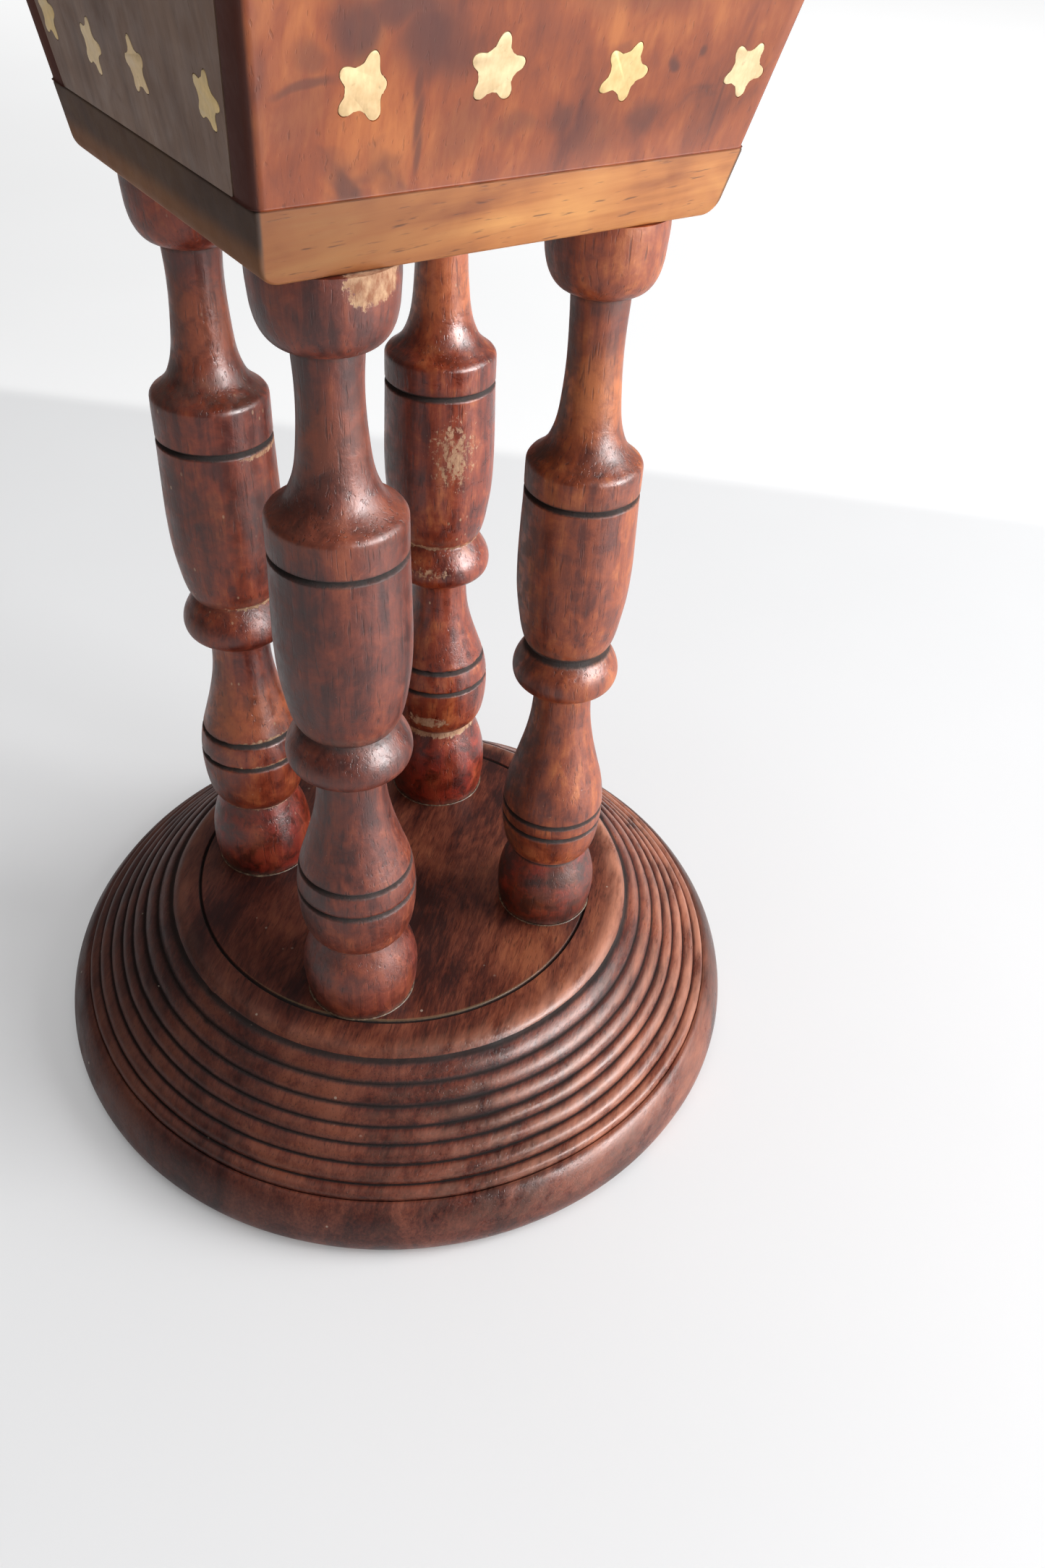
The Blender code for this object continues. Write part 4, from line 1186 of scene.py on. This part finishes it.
# The front's dark figure, in millimetres: X, Y and Z, then half width, half height and strength.
FRONT_FIGURE = (
    (-40.5, -65.2, 332.5, 6.0, 7.5, 1.00),
    (-33.0, -65.6, 334.5, 13.0, 4.0, 0.92),
    (-26.4, -64.1, 329.3, 8.8, 8.5, 0.90),
    (-51.5, -63.0, 325.5, 8.0, 1.7, 0.78),
    (-50.0, -64.0, 329.0, 4.2, 2.4, 0.55),
    (-28.8, -62.7, 323.5, 1.3, 6.2, 0.80),
    (-27.9, -60.5, 316.5, 1.2, 7.0, 0.85),
    (-27.1, -58.8, 310.5, 1.0, 5.8, 0.80),
    (-20.0, -60.3, 314.0, 6.2, 7.5, 0.40),
    (4.6, -59.5, 313.3, 5.5, 4.8, 0.70),
    (-7.0, -59.0, 311.6, 7.5, 3.5, 0.48),
    (27.5, -59.8, 314.2, 4.8, 3.6, 0.72),
    (33.5, -62.4, 323.1, 1.6, 1.8, 1.00),
    (38.2, -62.8, 324.5, 1.2, 1.4, 0.85),
    (47.2, -59.3, 312.6, 0.7, 9.0, 0.70),
    (-60.0, -61.0, 316.0, 3.5, 22.0, 0.45),
    (-51.5, -61.3, 319.3, 7.0, 13.0, 0.34),
    (15.0, -59.3, 310.5, 12.0, 8.0, 0.50),
    (46.5, -58.5, 310.0, 8.0, 8.0, 0.34),
    (18.0, -66.0, 335.0, 17.0, 5.0, 0.36),
)
FIGURE_DEPTH = 0.02
# A broad dark cloud over the bottom board's left half: painted shade, drawn as figure.
BOARD_PAINTED_SHADE = (((-0.0640, -0.0530, 0.2950), (0.0600, 0.05, 0.0300), 0.55),)


def glue_finish():
    t = Tree("old_glue_look")
    mottle = t.noise(t.coords, 700, 3, 0.6)
    stops = [(0.35, (0.050, 0.022, 0.012)), (0.55, (0.16, 0.09, 0.05)), (0.7, (0.34, 0.25, 0.15))]
    return t.finish(t.ramp(mottle, stops), 0.5, mottle, 0.4, 0.0002)


def build_object():
    build_base()
    for label, look in SPINDLE_LOOKS.items():
        build_spindle(label, spindle_finish(*look))
    glue = glue_finish()
    for number, label in enumerate(SPINDLES):
        glue_ring(label, 3.3 * number + 1, glue)

    figure = []
    for x, y, z, wide, high, strength in FRONT_FIGURE:
        size = (wide * MM, FIGURE_DEPTH, high * MM)
        figure.append(((x * MM, y * MM, z * MM), size, strength))
    upright = (0, 0, 1)
    finishes = {
        "front": box_finish(
            "front_panel_look", upright, 1, *BOX_WOOD, figure, tone=0.62, ends=PANEL_ENDS
        ),
        "back": box_finish("back_panel_look", upright, 2, *BOX_WOOD, tone=0.53, ends=PANEL_ENDS),
        "left": box_finish("left_panel_look", upright, 3, *PAINTED_SHADE_WOOD, gloss=0.55, tone=0.70),
        "right": box_finish("right_panel_look", upright, 4, *BOX_WOOD, tone=0.54),
    }
    stars = [
        brass_finish("star_pale_look", (0.70, 0.49, 0.25), (0.89, 0.68, 0.40), 0.42, 0.20),
        brass_finish("star_warm_look", (0.68, 0.46, 0.23), (0.87, 0.64, 0.35), 0.42, 0.25),
        brass_finish("star_yellow_look", (0.64, 0.44, 0.18), (0.84, 0.61, 0.29), 0.42, 0.30),
    ]
    build_panels(finishes, stars)
    board = box_finish(
        "bottom_board_look", (1, 0, 0.06), 5, *BOARD_WOOD, BOARD_PAINTED_SHADE,
        gloss=0.42, tone=0.66, ends=BOARD_ENDS_AND_SHADE, pore=0.62,
    )
    build_bottom_board(board)
    lid = box_finish("lid_look", (1, 0.04, 0), 6, *BOX_WOOD, gloss=0.34, tone=0.53)
    build_lid(lid, stars)
    aged = brass_finish("hinge_brass_look", (0.42, 0.30, 0.13), (0.74, 0.58, 0.30))
    refine_hinges(aged)
    build_screws(aged)
    tray = []
    for number, direction in enumerate(((0, 1, 0.02), (1, 0.02, 0))):
        name = f"tray_look_{number}"
        tray.append(box_finish(name, direction, 8 + number, *TRAY_WOOD, gloss=0.55, tone=0.68))
    dress_tray(tray)


def add_area(name, place, target, size, power, diffuse=True, glossy=True):
    light = bpy.data.lights.new(name, "AREA")
    light.shape = "RECTANGLE"
    light.size, light.size_y = size
    light.energy = power
    obj = bpy.data.objects.new(name, light)
    obj.location = place
    obj.rotation_euler = (Vector(target) - Vector(place)).to_track_quat("-Z", "Y").to_euler()
    obj.visible_camera = False
    obj.visible_diffuse = diffuse
    obj.visible_glossy = glossy
    bpy.context.scene.collection.objects.link(obj)


def build_stage():
    floor = bpy.data.meshes.new("floor")
    floor.from_pydata([(-4, -4, 0), (4, -4, 0), (4, 4, 0), (-4, 4, 0)], [], [(0, 1, 2, 3)])
    new_object("floor", floor, floor_finish(), None)

    world = bpy.data.worlds.new("room")
    bpy.context.scene.world = world
    world.use_nodes = True
    nodes, links = world.node_tree.nodes, world.node_tree.links
    sky = nodes.new("ShaderNodeTexCoord")
    toward_light = nodes.new("ShaderNodeVectorMath")
    toward_light.operation = "DOT_PRODUCT"
    toward_light.inputs[1].default_value = (0.78, -0.50, 0.38)
    links.new(sky.outputs["Generated"], toward_light.inputs[0])
    glow = nodes.new("ShaderNodeMapRange")
    glow.inputs["From Min"].default_value = -0.8
    glow.inputs["From Max"].default_value = 0.8
    glow.inputs["To Min"].default_value = 0.07
    glow.inputs["To Max"].default_value = 0.36
    links.new(toward_light.outputs["Value"], glow.inputs["Value"])
    links.new(glow.outputs["Result"], nodes["Background"].inputs["Strength"])
    nodes["Background"].inputs["Color"].default_value = (1.0, 1.0, 1.0, 1)
    add_area("window", (1.60, -1.05, 1.15), (0, 0, 0.12), (1.1, 1.4), 40.0)
    add_area("side_window", (0.85, -1.75, 0.85), (0, 0, 0.12), (0.5, 0.9), 9.4)
    add_area("sheen", (0.95, -1.55, 0.75), (0, 0, 0.1), (1.2, 0.8), 78.0, diffuse=False)
    add_area("ceiling_bounce", (0.1, 0.1, 2.2), (0.0, 0.0, 0), (2.0, 2.0), 17.5, glossy=False)
    bpy.context.scene.view_settings.view_transform = "Standard"


def build_camera():
    right = Vector((0.82431, -0.56351, 0.05442))
    up = Vector((0.34101, 0.57095, 0.74681))
    back = -Vector((0.45191, 0.59705, -0.66281))
    place = Matrix((right, up, back)).transposed().to_4x4()
    place.translation = Vector((-0.1533, -0.2727, 0.3717))
    data = bpy.data.cameras.new("camera")
    data.lens = 27.31
    data.sensor_width = 36
    data.clip_start = 0.01
    camera = bpy.data.objects.new("camera", data)
    camera.matrix_world = place
    bpy.context.scene.collection.objects.link(camera)
    bpy.context.scene.camera = camera


build_camera()
build_object()
build_stage()
